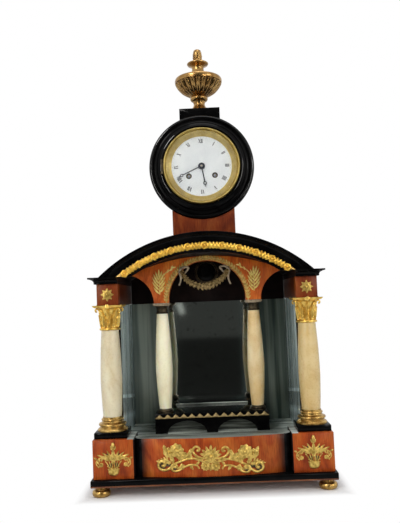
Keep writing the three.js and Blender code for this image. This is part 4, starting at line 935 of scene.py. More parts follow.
turn(bm, shell, 110, (0, 0, CENTRE), True, math.tau - 2 * gap, -math.pi / 2 + gap)
bmesh.ops.remove_doubles(bm, verts=bm.verts, dist=MERGE)
bmesh.ops.holes_fill(bm, edges=[e for e in bm.edges if e.is_boundary], sides=8)


def on_crest(middle, normal):
    away = math.hypot(middle.x, middle.z - CENTRE)
    return middle.y < CREST_FRONT and any(low < away < high for low, high in CRESTS)


tint(bm, on_crest)
put("drum_shell", bm, ["black_lacquer", "polished_black"], ["drum_case"])

# %% [markdown]
# ## Hinge knuckles
# The bezel and the rear door turn on small hinges: short tubes round a pin, each on a narrow leaf let into
# the wood or brass beside it. Each tube is turned on its joint's own axis, so it stays in line when the
# door or bezel opens.

# %% hinge knuckles
def knuckle(bm, pin, low, high, leaf_end, thick):
    barrel = [(0, low), (1.2, low), (1.5, low + 0.3), (1.5, high - 0.3), (1.2, high), (0, high)]
    turn(bm, barrel, 20, (pin.x, pin.y, CENTRE))
    leaf_middle = (pin.x + leaf_end[0] / 2, pin.y + leaf_end[1], CENTRE + (low + high) / 2)
    block(bm, (abs(leaf_end[0]), thick, high - low), leaf_middle)


bezel_pin = joint_at["bezel_hinge"]
door_pin = joint_at["rear_door_hinge"]
bm = bmesh.new()
for low, high in ((6.3, 10.8), (-10.8, -6.3)):
    knuckle(bm, bezel_pin, low, high, (-1.9, 1.3), 2.4)
    knuckle(bm, door_pin, low, high, (1.4, -2.8), 5.4)
put("fixed_knuckles", bm, "dark_bronze")

# %% [markdown]
# ## Bezel and glass
# The bezel is a gilt brass ring on its hinge at the left. A narrow bright bead runs round its rim, and
# inside a fine groove a broad matt slope leads down to the white dial. The domed glass is held in it and
# swings with it.

# %% bezel
BEZEL = 56.5
rim_bead = smooth_line([(BEZEL, 44.2), (56.3, 47.6), (55.2, 49.4), (54, 48.8), (53.6, 47.4)], 4)
slope = smooth_line([(52.6, 46.8), (51.6, 46.4), (48.4, 43.9), (45.6, 41.9), (44.7, 41.5)], 4)
ring = [(BEZEL, 38.3)] + rim_bead + [(53.2, 46.4), (52.6, 46.8)] + slope
ring += [(44.5, 41.3), (44.5, 40.4), (52.9, 40.4), (52.9, 38.3), (BEZEL, 38.3)]
bm = bmesh.new()
turn(bm, ring, 128, (0, 0, CENTRE), True)
knuckle(bm, bezel_pin, -6, 6, (2.7, 0.4), 1.6)
tint(bm, lambda middle, normal: middle.x < 0.1 - BEZEL)
put("bezel_ring", bm, ["bezel_gilt", "dark_bronze"], ["bezel"], "bezel")

# %% glass
GLASS_EDGE, GLASS_THICK = (51.7, 46.9), 1.3
outer = smooth_line([(51.7, 48.2), (44, 49.5), (30, 51.1), (14, 52.1), (0, 52.3)], 5)
inner = [(radius, height - GLASS_THICK) for radius, height in reversed(outer)]
bm = bmesh.new()
turn(bm, [GLASS_EDGE] + outer + inner[:-1] + [GLASS_EDGE], 96, (0, 0, CENTRE), True)
put("dial_glass", bm, "clock_glass", ["bezel_glass"], "bezel")

# %% [markdown]
# ## Carver's and chaser's tools
# The mounts, capitals and sprays are all built from a few shapes: a leaf, a stem, a bead and a flower. They
# could be sculpted, but a leaf is only a grid drawn into a leaf's outline, raised along its ribs and
# carried down to the ground at its rim. A stem is a circle extruded along a line while it tapers. Each is
# drawn flat, x across, y up and z out.

# %% leaf
# A spot is a place on the flat drawing: its angle is clockwise from straight up, in degrees. In a leaf, a
# runs across from -1 to 1 and t along from foot to tip. Lobes notch the outline, bend leans it to one side,
# curl lifts the tip off the ground, and flute ripples it lengthwise.
def spot(x, y, angle=0.0, z=0.0):
    return Matrix.Translation((x, y, z)) @ Matrix.Rotation(-math.radians(angle), 4, "Z")


def leaf(bm, place, length, width, rise=1.4, lobes=0, bend=0.0, curl=0.0, cells=(4, 8), sink=0.4, flute=0.0):
    old = set(bm.verts)
    bmesh.ops.create_grid(bm, x_segments=cells[0], y_segments=4 * lobes or cells[1], size=1)
    sheet = added(bm, old)
    rim = [e for e in {e for v in sheet for e in v.link_edges} if e.is_boundary]
    for v in sheet:
        a, t = v.co.x, min(max((v.co.y + 1) / 2, 0.0), 1.0)
        half = width / 2 * (0.08 + 0.92 * abs(math.sin(math.pi * t ** 0.8)) ** 0.8)
        half *= 1 - 0.3 * abs(math.cos(math.pi * lobes * t)) if lobes else 1
        lean = math.atan(2 * bend * t)
        ribs = 1 - 0.5 * a * a - 0.35 * (1 - abs(a)) ** 2 + flute * math.cos(5 * math.pi * a)
        v.co.x = bend * length * t * t + a * half * math.cos(lean)
        v.co.y = length * t - a * half * math.sin(lean)
        v.co.z = rise * math.sin(math.pi * (0.15 + 0.7 * t)) * ribs + curl * t ** 3
    if curl:
        bmesh.ops.solidify(bm, geom=list({f for v in sheet for f in v.link_faces}), thickness=0.8)
    else:
        grown = bmesh.ops.extrude_edge_only(bm, edges=rim)["geom"]
        low = {g for g in grown if isinstance(g, bmesh.types.BMVert)}
        for v in low:
            v.co.z = -sink
        ground = {e for v in low for e in v.link_edges if e.other_vert(v) in low}
        bmesh.ops.contextual_create(bm, geom=list(ground))
    made = added(bm, old)
    move(bm, place, made)
    return made


# %% stem
# The ring starts as a unit circle. Each step grows a new ring and carries it from the last place to the
# next one, and the last ring is drawn together into a blunt tip.
def lengthen(bm, ring):
    held = set(ring)
    edges = [e for e in {e for v in ring for e in v.link_edges} if e.verts[0] in held and e.verts[1] in held]
    grown = bmesh.ops.extrude_edge_only(bm, edges=edges)["geom"]
    return [g for g in grown if isinstance(g, bmesh.types.BMVert)]


def stem(bm, path, thick, thin=None, sides=8, parts=4, flat=1.0):
    old = set(bm.verts)
    line = [Vector(p if len(p) == 3 else (*p, 0)) for p in smooth_line(path, parts)]
    ring = bmesh.ops.create_circle(bm, cap_ends=True, radius=1, segments=sides)["verts"]
    before = Matrix.Identity(4)
    for i, point in enumerate(line):
        run = (line[min(i + 1, len(line) - 1)] - line[max(i - 1, 0)]).normalized()
        side = run.cross((0, 0, 1)).normalized()
        size = thick + ((thick if thin is None else thin) - thick) * i / (len(line) - 1)
        facing = Matrix((side, side.cross(run), run)).transposed().to_4x4()
        now = Matrix.Translation(point) @ facing @ Matrix.Diagonal((size, size * flat, size, 1))
        ring = lengthen(bm, ring) if i else ring
        move(bm, now @ before.inverted(), ring)
        before = now
    ring = lengthen(bm, ring)
    bmesh.ops.scale(bm, vec=(0, 0, 0), space=Matrix.Translation(-(point + run * size * 0.7)), verts=ring)
    return added(bm, old)


# %% bead, flower, tooth and painted shadow disc
bm = bmesh.new()
bmesh.ops.create_uvsphere(bm, u_segments=10, v_segments=6, radius=1)
one_bead = bpy.data.meshes.new("one_bead")
bm.to_mesh(one_bead)
bm.free()


def bead(bm, x, y, radius, z=0.0, tall=1.0):
    old = set(bm.verts)
    bm.from_mesh(one_bead)
    size = Matrix.Diagonal((radius, radius * tall, radius, 1))
    move(bm, Matrix.Translation((x, y, z)) @ size, added(bm, old))


def bead_circle(bm, count, circle, radius, z, start=0.0):
    for k in range(count):
        round_way = math.tau * (k + start) / count
        bead(bm, circle * math.cos(round_way), circle * math.sin(round_way), radius, z)


def flower(bm, x, y, radius, petals=6, start=0.0, rise=1.6, z=0.0):
    wide = 2.2 * radius * math.sin(math.pi / petals)
    for k in range(petals):
        place = spot(x, y, start + 360 * k / petals, z) @ Matrix.Translation((0, 0.14 * radius, 0))
        leaf(bm, place, 0.86 * radius, wide, rise, cells=(2, 4))
    bead(bm, x, y, 0.26 * radius, z + 0.7 * rise)


def tooth(bm, place, wide, tall, rise):
    made = bmesh.ops.create_cone(bm, cap_ends=True, segments=3, radius1=1, radius2=0.45, depth=1)["verts"]
    for v in made:
        v.co = Vector((v.co.x * wide / math.sqrt(3), (v.co.y + 0.5) * tall / 1.5, (v.co.z + 0.4) * rise))
    move(bm, place, made)


# A thin dark disc, a painted shadow in the ground between leaves and scrolls.
def painted_shadow_disc(bm, x, y, wide, tall, angle=0.0):
    disc = bmesh.ops.create_cone(bm, cap_ends=True, segments=24, radius1=1, radius2=1, depth=1)["verts"]
    move(bm, spot(x, y, angle, 0.1) @ Matrix.Diagonal((wide, tall, 0.5, 1)), disc)
    for face in {f for v in disc for f in v.link_faces}:
        face.material_index = 1


# %% halves and mounting
def both_halves(bm):
    bmesh.ops.mirror(bm, geom=bm.verts[:] + bm.edges[:] + bm.faces[:], matrix=Matrix.Identity(4), axis="X")


def on_front(x, y, z):
    return Matrix.Translation((x, y, z)) @ FACING


def mount(name, bm, place, finish="gilt_mount"):
    move(bm, on_front(*place))
    put(name, bm, finish, crease=50)


print("leaf, stem, bead and flower ready")

# %% [markdown]
# ## Pedestal mounts
# Each pedestal carries a chased gilt mount: a small bowl from which stems rise into a plume of leaves with
# a bud on top, and two long fronds that arch over to the sides and end in a flower. One half is drawn and
# mirrored, and the bowl and the middle leaf are added on the centre line. Thin dark discs stand for the
# shadowed ground between the leaves.

# %% pedestal mounts
def plume_half(bm):
    for path in ([(1.3, -13), (1.7, -6), (2.6, 0)], [(3.0, -13), (4.6, -6.5), (6.6, -0.5)],
                 [(4.7, -13), (7.6, -7.5), (11.2, -2.6)]):
        stem(bm, path, 0.85, 0.7)
    for x, y, angle, length, width, bend in ((1.6, -3, 20, 16, 4, 0.1), (2.6, -2.5, 40, 17, 4.2, 0.14),
                                             (4.2, -2, 60, 19.5, 4.2, 0.1), (7, -2.5, 52, 9, 3, 0.2)):
        leaf(bm, spot(x, y, angle), length, width, 1.9, 3, bend)
    painted_shadow_disc(bm, 6.3, 5.6, 3.4, 1.6, -25)
    painted_shadow_disc(bm, 3.6, -8.8, 2.4, 4.4, 24)
    frond = [(7, -1.5), (12, 1.6), (18, 1.4), (22.8, -2.2), (23.2, -7.2), (20.2, -9.6), (17.4, -8)]
    stem(bm, frond, 1.0, 0.7)
    for x, y, angle in ((14.5, 1.4, 150), (18.5, 0.8, 168), (22, -2.6, 205), (22.2, 0.4, 70)):
        leaf(bm, spot(x, y, angle), 5, 2.4, 1.0, cells=(2, 5))
    flower(bm, 16.8, -7.6, 3.0, 5, 20)
    bead(bm, 20.4, -10.4, 1.1, 0.5)
    leaf(bm, spot(0.6, 11.5, 28), 6.5, 2.8, 1.2, cells=(2, 5))
    for k in range(4):
        bead(bm, 1.1 + 2.1 * k, -12.6 + 0.32 * k * k, 1.15, 2.2 - 0.4 * k)


def plume_middle(bm):
    leaf(bm, spot(0, -7), 19, 8.5, 2.6, 4)
    stem(bm, [(0, 9, 0.8), (0, 13.5, 0.8)], 1.2, 1.0)
    bead(bm, 0, 18, 2.7, 0.9, 1.75)
    bowl = smooth_line([(3.6, 0.2), (6.2, 1.8), (7.5, 4.6), (7.6, 7), (8.6, 8.8)], 3)
    made = turn(bm, [(0, 0)] + bowl + [(8.2, 9.6), (0, 9.6)], 40)
    for v in made:
        pinch = 1 - 0.06 * abs(math.sin(6 * math.atan2(v.co.y, v.co.x)))
        v.co.x *= pinch
        v.co.y *= pinch
    flattened = Matrix.Diagonal((1, 1, 0.42, 1)) @ Matrix.Rotation(math.radians(-90), 4, "X")
    move(bm, Matrix.Translation((0, -22.3, 0)) @ flattened, made)


for label in SIDES:
    bm = bmesh.new()
    plume_half(bm)
    both_halves(bm)
    plume_middle(bm)
    solid = f"pedestal_{label}"
    place = (centre(solid).x, corners(solid)[0].y, centre(solid).z + 1)
    mount(f"pedestal_mount_{label}", bm, place, ["gilt_mount", "dark_bronze"])

# %% [markdown]
# ## The wide mount on the bow
# The bow carries the largest mount: a palmette over two shells in the middle, arms that curl up beside it,
# and at each end a horn of plenty whose scrolls roll under a bunch of flowers. It is drawn flat, hung a
# little askew as the photograph shows, and then pressed onto the bow by moving each point back with the
# curve.

# %% bow mount: arms and horns
bm = bmesh.new()
flower(bm, 7.0, -10.8, 6.6, 10, 12, 1.9)
arm = [(3, 0), (9, -0.6), (16, 0.6), (22, 4.4), (24.4, 9.6), (22.2, 14), (17.8, 14.4), (15.4, 11.2),
       (17.4, 8.8)]
stem(bm, arm, 1.7, 1.7)
bead(bm, 18.2, 9.6, 1.9, 0.4)
stem(bm, [(4, -3), (10, -4.6), (16, -3.6), (23, -1.6)], 1.4, 0.8)
leaf(bm, spot(10, -3, 72), 10, 4, 1.4, 3)
horn = [(14, -1.4), (24, -1.2), (33, -2.6), (41, -5.6), (49, -9.4), (55, -14.6), (62, -18.4), (69, -16.8),
        (71.6, -11.8), (68.4, -6.8), (63.6, -7.6), (62.6, -11.4), (66, -13)]
stem(bm, horn, 1.3, 2.4)
scroll = [(15.6, -14.6), (19, -10.4), (27, -9.6), (36, -13), (44, -18.2), (51, -18.4), (54, -13.6),
          (50.4, -9.6), (46.4, -11.8), (48, -14)]
stem(bm, scroll, 1.1, 2.2)
bead(bm, 47.6, -13.2, 1.7, 0.4)
bead(bm, 65.6, -12.4, 1.8, 0.4)
print("arms and horns", len(bm.faces), "faces on one half")

# %% bow mount: leaves and flowers
horn_leaves = ((31, -3, -16, 16, 7.5), (35, -4, 22, 13, 7), (24, -1.4, 66, 15, 7.5), (41, -6, 8, 11, 7),
               (50, -8, 30, 13, 7), (58, 0, 24, 17, 9), (40, -8, 200, 9, 5), (28, -9.6, 215, 8, 4.5),
               (54, -9, 64, 12, 6.5), (20, -10.2, -40, 8, 4), (34, -11, 112, 13, 6.5), (46, -8.4, 128, 13, 7))
for x, y, angle, length, width in horn_leaves:
    leaf(bm, spot(x, y, angle), length, width, 1.7, 3)
for k in range(5):
    leaf(bm, spot(58.5 + 2.6 * k, -4.8 - 0.6 * k, 20 + 16 * k), 6.2, 2.4, 1.3, cells=(2, 5))
flower(bm, 46.6, 8.8, 10.2, 8, 10, 2.8, 0.6)
flower(bm, 46.6, 8.8, 6.2, 7, 30, 2.2, 2.0)
flower(bm, 58, 5.6, 7.2, 7, 0, 2.2, 0.4)
flower(bm, 37.4, 2.6, 5.6, 6, 15, 1.8, 0.3)
# Painted shadows in the hollows of the scrolls at each end.
for x, y, wide, tall in ((51, -13.4, 5.4, 5), (66, -12, 5.6, 5.4), (59.5, -9, 5, 4.4)):
    painted_shadow_disc(bm, x, y, wide, tall)
both_halves(bm)
print("both halves with leaves and flowers", len(bm.faces), "faces")

# %% bow mount: palmette and hanging
ASKEW, MOUNT_ASIDE, MOUNT_BELOW = math.radians(-2.6), -3.5, 0.9
BOW_END, BOW_SWELL = 10, 11
for k in range(-3, 4):
    leaf(bm, spot(0.8 * k, 2, 25 * k), 15.5 - 0.9 * abs(k), 6, 2.2, 3)
for k in range(-2, 3):
    leaf(bm, spot(0, -7, 17 * k), 12, 4.6, 2.4, cells=(2, 6))
bead(bm, 0, 1.6, 2.6, 1.8)
leaf(bm, spot(0, -8, 180), 9, 6, 2.0, 3)
move(bm, on_front(MOUNT_ASIDE, 0, centre("bow_front").z - MOUNT_BELOW) @ Matrix.Rotation(ASKEW, 4, "Z"))
for v in bm.verts:
    v.co.y += bow_low.y + BOW_SWELL * (v.co.x / (bow_high.x - BOW_END)) ** 2
put("bow_mount", bm, ["gilt_mount", "dark_bronze"], crease=50)

# %% [markdown]
# ## Rosettes and leaf sprays
# A star flower of eight pointed petals sits on the front end of each frieze. On each spandrel of the
# tympanum stands a spray: five pairs of narrow leaves on a stem with one more at its tip, the outer ones a
# little longer, and a small twig that runs from it to the arch.

# %% rosettes
for label in SIDES:
    bm = bmesh.new()
    for k in range(8):
        leaf(bm, spot(0, 0, 45 * k), 9.4, 4.2, 1.3, cells=(2, 6))
        leaf(bm, spot(0, 0, 45 * k + 22.5, 0.3), 6.4, 3.6, 1.3, cells=(2, 6))
    bead(bm, 0, 0, 2.2, 1.2)
    bead_circle(bm, 8, 2.9, 0.8, 1.4)
    solid = f"frieze_{label}"
    mount(f"rosette_{label}", bm, (centre(solid).x, corners(solid)[0].y, centre(solid).z))

# %% leaf sprays
ARCH_RADIUS, ARCH_LIFT = 60, 4
ARCH_SPRING = corners("tympanum")[0].z + ARCH_LIFT
TYMPANUM_FRONT = corners("tympanum")[0].y
SPRAY_AT = (71.5, 10.3)
leaf_pairs = ((0.5, 13, 48), (5.7, 16, 46), (10.9, 17, 43), (16.1, 16, 38), (21.3, 13, 30))
for label, side in SIDES.items():
    bm = bmesh.new()
    stem(bm, [(0, -1), (0.4, 12), (0, 26)], 0.9, 0.7)
    for k, (y, length, angle) in enumerate(leaf_pairs):
        for way in (-1, 1):
            place = spot(0, y + 1.2 * way, way * angle, 0.2 * k)
            longer = 1.1 if way == side else 0.95
            leaf(bm, place, length * longer, 3, 2.4, 0, -0.16 * way, cells=(4, 6))
    leaf(bm, spot(0, 25, 0, 0.8), 12, 3, 2.2, cells=(4, 6))
    stem(bm, [(-side * 2, 22), (-side * 10, 31), (-side * 17, 35.5), (-side * 23, 40)], 0.9, 0.6)
    for x, y, angle in ((12.5, 31, 20), (15, 34.5, 75), (18.5, 37, 25), (20, 38.6, 80)):
        leaf(bm, spot(-side * x, y, -side * angle), 6, 2.4, 1.0, cells=(2, 5))
    place = (side * SPRAY_AT[0], TYMPANUM_FRONT, ARCH_SPRING + SPRAY_AT[1])
    mount(f"leaf_spray_{label}", bm, place, "painted_light_spray_gilding")

# %% [markdown]
# ## Arch trim, garland and zigzag edge
# A thin gilt twig follows the middle arch, with pairs of small leaves that climb from both feet to the
# crown. Between two ribbon knots on it hangs a garland, thick in the middle: a core stem set round with
# small leaves, with pale loose ribbon ends. The bridge has a plain gilt line with pointed tongues standing
# on it along its front.

# %% arch trim
TRIM_RADIUS, TRIM_PARTS, TRIM_PAIRS = 61.9, 30, 44
reach = math.degrees(math.acos(-ARCH_LIFT / ARCH_RADIUS))
arc = []
for k in range(TRIM_PARTS + 1):
    at = math.radians(-reach + 2 * reach * k / TRIM_PARTS)
    arc.append((TRIM_RADIUS * math.sin(at), TRIM_RADIUS * math.cos(at)))
bm = bmesh.new()
stem(bm, arc, 0.9, 0.9, 8, 2)
for k in range(TRIM_PAIRS):
    at = -reach + 2 * reach * (k + 0.5) / TRIM_PAIRS
    climb = 90 if at < 0 else -90
    for lean in (-38, 38):
        leaf(bm, spot(0, 0, at) @ spot(0, TRIM_RADIUS, climb + lean, 0.3), 6.4, 2.7, 1.9, cells=(2, 4))
mount("arch_trim", bm, (0, TYMPANUM_FRONT, ARCH_SPRING), "matt_gilding")

# %% garland: ribbons
LEFT_KNOT, RIGHT_KNOT = (-38, 46.5, 1), (32.6, 45.9, -1)
loop = [(0, 0, 2.4), (5, 2.6, 3), (11.5, 1.2, 3.4), (8.6, -3.4, 3), (6.4, -6.4, 2.6)]
tail = [(0, 0, 2.4), (-2.6, -5, 3), (-0.6, -12, 3.6), (-1.0, -18, 3), (-3.4, -24.5, 2.8)]
bm = bmesh.new()
for x, y, way in (LEFT_KNOT, RIGHT_KNOT):
    bead(bm, x, y, 2.6, 2.6)
    for ribbon, thick, thin in ((loop, 1.7, 1.3), (tail, 1.6, 1.2)):
        stem(bm, [(x + way * a, y + b, c) for a, b, c in ribbon], thick, thin, 8, 5, 0.4)
    leaf(bm, spot(x, y, way * 60, 1.4), 6, 3, 1.2, cells=(2, 5))
tint(bm, lambda middle, normal: 1)
print("ribbons", len(bm.faces), "faces")

# %% garland: leaves
swag = [(-38, 46, 2.2), (-34.6, 36.5, 2.6), (-25, 25.7, 3), (-9, 19.1, 3.2), (6, 20.1, 3.2), (20.4, 27.5, 3),
        (29.6, 36.5, 2.6), (32.6, 45.5, 2.2)]
stem(bm, swag, 1.5, 1.5)
line = smooth_line(swag, 3)
for i in range(1, len(line) - 1):
    x, y, z = line[i]
    run = Vector(line[i + 1]) - Vector(line[i - 1])
    heading = math.degrees(math.atan2(run.x, run.y)) + (180 if i > len(line) / 2 else 0)
    full = 0.75 + 0.45 * math.sin(math.pi * i / len(line))
    for lean, lift, tip in ((-52, 0, 8), (52, 0, 8), (-28, 0.9, 16), (28, 0.9, 16), (0, 1.6, 22)):
        place = spot(x, y, heading + lean, z + lift) @ Matrix.Rotation(math.radians(tip), 4, "X")
        leaf(bm, place, 6.2 * full, 2.9 * full, 1.5, cells=(4, 5))
mount("garland", bm, (0, TYMPANUM_FRONT - 0.4, ARCH_SPRING), ["worn_mount", "pale_gilding"])

# %% zigzag edge
TOOTH, TEETH, LINE_HALF, LINE_BELOW = 12, 14, 84.2, 6.3
bridge_low, bridge_high = corners("bridge_stand")
bm = bmesh.new()
stem(bm, [(-LINE_HALF, 0), (LINE_HALF, 0)], 0.9, 0.9, 6, 1)
for k in range(TEETH):
    tooth(bm, spot(TOOTH * (k - (TEETH - 1) / 2), 0), TOOTH, 5.8, 1.5)
mount("zigzag_edge", bm, (0, bridge_low.y, bridge_high.z - LINE_BELOW), "dull_gilding")

# %% [markdown]
# ## Carved capitals
# The outer columns end in carved and gilded capitals: two rows of leaves round a bell, a scroll under each
# corner, and a thin plate with hollowed sides. The leaves are drawn flat like the mounts and then wrapped
# round the bell. The plate starts as a block whose sides are subdivided and drawn in, more in the middle
# than at the corners.

# %% capital: plate and leaves
PLATE_SIDE, PLATE_THICK, PLATE_AT = 42, 3.2, 33.9
BELL = 12.3


def wrap(verts, radius, angle):
    for v in verts:
        round_way, out = v.co.x / radius + angle, radius + v.co.z
        v.co = (out * math.sin(round_way), -out * math.cos(round_way), v.co.y)


def hollow_plate(bm):
    block(bm, (PLATE_SIDE, PLATE_SIDE, PLATE_THICK), (0, 0, 0))
    bmesh.ops.subdivide_edges(bm, edges=bm.edges[:], cuts=7, use_grid_fill=True)
    for v in bm.verts:
        sx, sy, low = 2 * v.co.x / PLATE_SIDE, 2 * v.co.y / PLATE_SIDE, 0.5 - v.co.z / PLATE_THICK
        v.co.x *= (1 - 0.15 * (1 - sy * sy)) * (1 - 0.12 * low * low)
        v.co.y *= (1 - 0.15 * (1 - sx * sx)) * (1 - 0.12 * low * low)
        v.co.z += PLATE_AT


def leaf_rows(bm):
    ring = smooth_line([(12.4, 0), (14.2, 0.5), (14.8, 1.8), (14.2, 3.1), (12.5, 3.6)], 3)
    bell = smooth_line([(12.0, 4), (12.0, 12), (BELL, 20), (13, 25.5), (15, 30), (17.4, 31.4)], 4)
    turn(bm, [(0, 0)] + ring + bell + [(18, 32.8), (0, 32.8)], 56)
    for k in range(8):
        low_leaf = leaf(bm, spot(0, 3.6), 18.5, 10.6, 2.0, 4, 0, 3.0, (14, 8), flute=0.3)
        wrap(low_leaf, BELL, math.tau * (k + 0.5) / 8)
        high_leaf = leaf(bm, spot(0, 8), 23, 9.6, 1.6, 5, 0, 3.6, (14, 8), flute=0.3)
        wrap(high_leaf, BELL, math.tau * k / 8)


# %% capital: scrolls and flowers
def scrolls(bm):
    curl = [(12.4, 17), (13.8, 23), (16.8, 28), (20.8, 30.8), (23.6, 29.8), (23.4, 27.2), (21.4, 27)]
    for k in range(4):
        corner_scroll = stem(bm, curl, 1.4, 1.2)
        move(bm, Matrix.Rotation(math.radians(45 + 90 * k), 4, "Z") @ FACING, corner_scroll)
        old = set(bm.verts)
        flower(bm, 0, 33.6, 3.4, 6, 0, 1.4)
        move(bm, Matrix.Rotation(math.radians(90 * k), 4, "Z") @ on_front(0, -17.7, 0), added(bm, old))


for label in SIDES:
    bm = bmesh.new()
    hollow_plate(bm)
    leaf_rows(bm)
    scrolls(bm)
    move(bm, Matrix.Translation(seat(f"capital_{label}")))
    put(f"carved_capital_{label}", bm, "leaf_gilding", [f"capital_{label}"], crease=50)

# %% [markdown]
# ## The raking cornice and its gilt band
# The arched front of the roof is a black moulding, run along a circle and sawn off level with the cornices
# below. The lathe makes it too: the moulding's profile is spun through part of a turn, cut by a level
# plane, and the cut ends are closed. The gilt band in its hollow is a half-round strip in a darker gilding,
# painted shade between the 21 carved flowers and leaves that are set on it in turn.

# %% raking cornice
OUTER, INNER = 221.8, 193.4
SPUN, SPUN_FROM = math.radians(94), math.radians(43)
ARCH_FOOT = corners("arch_cornice")[0].z
ARCH_CENTRE = corners("arch_cornice")[1].z - OUTER


def arch_run(bm, profile, steps=96):
    turn(bm, profile + profile[:1], steps, (0, 0, ARCH_CENTRE), True, SPUN, SPUN_FROM)
    bmesh.ops.remove_doubles(bm, verts=bm.verts, dist=MERGE)
    cut(bm, (0, 0, ARCH_FOOT), (0, 0, -1), True)
    bmesh.ops.holes_fill(bm, edges=[e for e in bm.edges if e.is_boundary], sides=60)


cyma = smooth_line([(217.6, 81.7), (216.8, 80.4), (214.6, 78.2), (212.4, 77.6), (210.8, 77.4)], 4)
moulding = [(OUTER, 70.8), (OUTER, 81.6), (221.6, 81.8), (217.8, 81.8)] + cyma
moulding += [(210.3, 77.3), (210.3, 75.9), (207.2, 75.4), (207.2, 73.2), (197.4, 73.2), (197.4, 75),
             (197.2, 75.2), (193.6, 75.2), (INNER, 75), (INNER, 70.8)]
bm = bmesh.new()
arch_run(bm, moulding)
put("raking_moulding", bm, "black_lacquer", ["arch_cornice"])

# %% gilt band
BAND, BAND_FRONT, UNITS, UNIT_CLEAR = 202.3, -74.6, 21, 4
strip = smooth_line([(197.8, 73.8), (199, 74.6), (BAND, 75), (205.6, 74.6), (206.8, 73.8)], 3)
bm = bmesh.new()
arch_run(bm, [(197.7, 73.3)] + strip + [(206.9, 73.3)])
# The strip under the carvings takes the darker gilding, painted shade between them.
tint(bm, lambda middle, normal: 1)
half_run = math.degrees(math.acos((ARCH_FOOT + UNIT_CLEAR - ARCH_CENTRE) / BAND))
for k in range(UNITS):
    old = set(bm.verts)
    if k % 2 == 0:
        flower(bm, 0, 0, 5.6, 6, 15, 2.8, 0.3)
        bead(bm, 0, 0, 1.8, 3.2)
    else:
        for x in (-4.6, 0, 4.6):
            leaf(bm, spot(x, -5.2, 0.6 * x), 10.4, 6, 3.2, 0, cells=(4, 6))
    turned_by = spot(0, 0, half_run * (2 * k / (UNITS - 1) - 1))
    place = on_front(0, BAND_FRONT, ARCH_CENTRE) @ turned_by @ Matrix.Translation((0, BAND, 0))
    move(bm, place, added(bm, old))
put("carved_band", bm, ["band_gilding", "aged_gilding"], ["arch_gilt_band"], crease=50)

# %% [markdown]
# ## The urn
# The finial is a gilt metal urn: a turned foot with a ring, a bowl with raised ribs, a smooth rim, a flared
# lid and a pine cone. It is one spin with many steps, and the ribs come from drawing points of the bowl
# inwards in rhythm. The grooves between them are painted dark, as shade. The cone's scales are rows of
# small beads, each row turned by half a bead.

# %% urn: the turned form
foot_line = [(16.1, 0), (16.1, 2.4)]
foot_line += smooth_line([(15.2, 3.2), (12.6, 6.4), (9.6, 10.8), (8.7, 14.6), (9.8, 18.2)], 3)
ring_line = smooth_line([(12, 19.4), (13.4, 21.2), (13.7, 23.2), (13.2, 25), (12.4, 26)], 3)
bowl_line = smooth_line([(14.6, 27), (21.5, 30.4), (28.4, 35.4), (33, 41), (35.4, 45.2), (36, 46.4)], 5)
rim_line = smooth_line([(36.2, 47.2), (36.7, 50), (36.2, 53), (34.4, 54.8), (29, 56.2)], 4)
lid_line = smooth_line([(20, 57.6), (13.8, 60), (10.8, 63.8), (9.2, 69.2), (9.8, 73.2), (12.6, 75.6)], 3)
flare_line = smooth_line([(15.8, 76.8), (16.6, 78.2), (16, 79.6), (11.6, 81.4), (7.6, 82.4), (5.6, 83.4)], 3)
cone_line = smooth_line([(5.6, 83.4), (6.6, 87.6), (6.9, 92.6), (6.2, 97.6), (4, 101), (0, 102.6)], 3)
urn_line = [(0, 0)] + foot_line + ring_line + bowl_line + [(34.6, 46.8)]
urn_line += rim_line + lid_line + flare_line + cone_line
RIBS = 22
bm = bmesh.new()
made = turn(bm, urn_line, RIBS * 8)
print("urn turned from", len(urn_line), "points")

# %% urn: ribs, grooves and cone
BOWL_FOOT, BOWL_TOP = 26.6, 46.6
SCALE_ROWS, SCALES = 6, 9


def groove(place):
    return math.cos(RIBS * math.atan2(place.y, place.x))


for v in made:
    if BOWL_FOOT < v.co.z < BOWL_TOP:
        fade = min(1, (v.co.z - 26) / 4, (BOWL_TOP - v.co.z) / 2) ** 0.5
        drawn = 1 - 0.1 * fade * (0.5 + 0.5 * groove(v.co)) ** 1.5
        v.co.x, v.co.y = v.co.x * drawn, v.co.y * drawn
# The grooves between the ribs are painted dark, as shade.
tint(bm, lambda middle, normal: groove(middle) > 0.55 and 29 < middle.z < BOWL_TOP - 0.6)
for row in range(SCALE_ROWS):
    wide = 6.3 * math.sin(math.pi * (0.3 + 0.57 * (row + 1) / 7)) ** 0.7
    bead_circle(bm, SCALES, wide, 1.35, 85.6 + 2.75 * row, 0.5 * (row % 2))
move(bm, Matrix.Translation(seat("urn")))
put("turned_urn", bm, ["worn_gilding", "groove_painted_shade"], ["urn"], crease=40)

# %% [markdown]
# ## Dial painting
# The white dial has Roman hours, a ring of minute marks and a dark rim round each winding hole. Text could
# be turned into mesh, but a Roman hour is only a few broad and fine strokes, so each is laid out from
# strokes and turned round the dial with its foot towards the middle.

# %% dial painting
DIAL_FRONT = corners("dial")[0].y
TALL, HOUR_FOOT = 6.0, 34.8
BROAD, FINE, SERIF, SERIF_THICK = 1.0, 0.4, 0.6, 0.24
letters = {
    "I": (1.5, [((0, 0), (0, TALL), BROAD)], (0,)),
    "V": (3.2, [((-1.1, TALL), (0, 0), BROAD), ((1.1, TALL), (0.1, 0), FINE)], (-1.1, 1.1)),
    "X": (3.2, [((-1.1, TALL), (1.1, 0), BROAD), ((1.1, TALL), (-1.1, 0), FINE)], (-1.1, 1.1)),
}


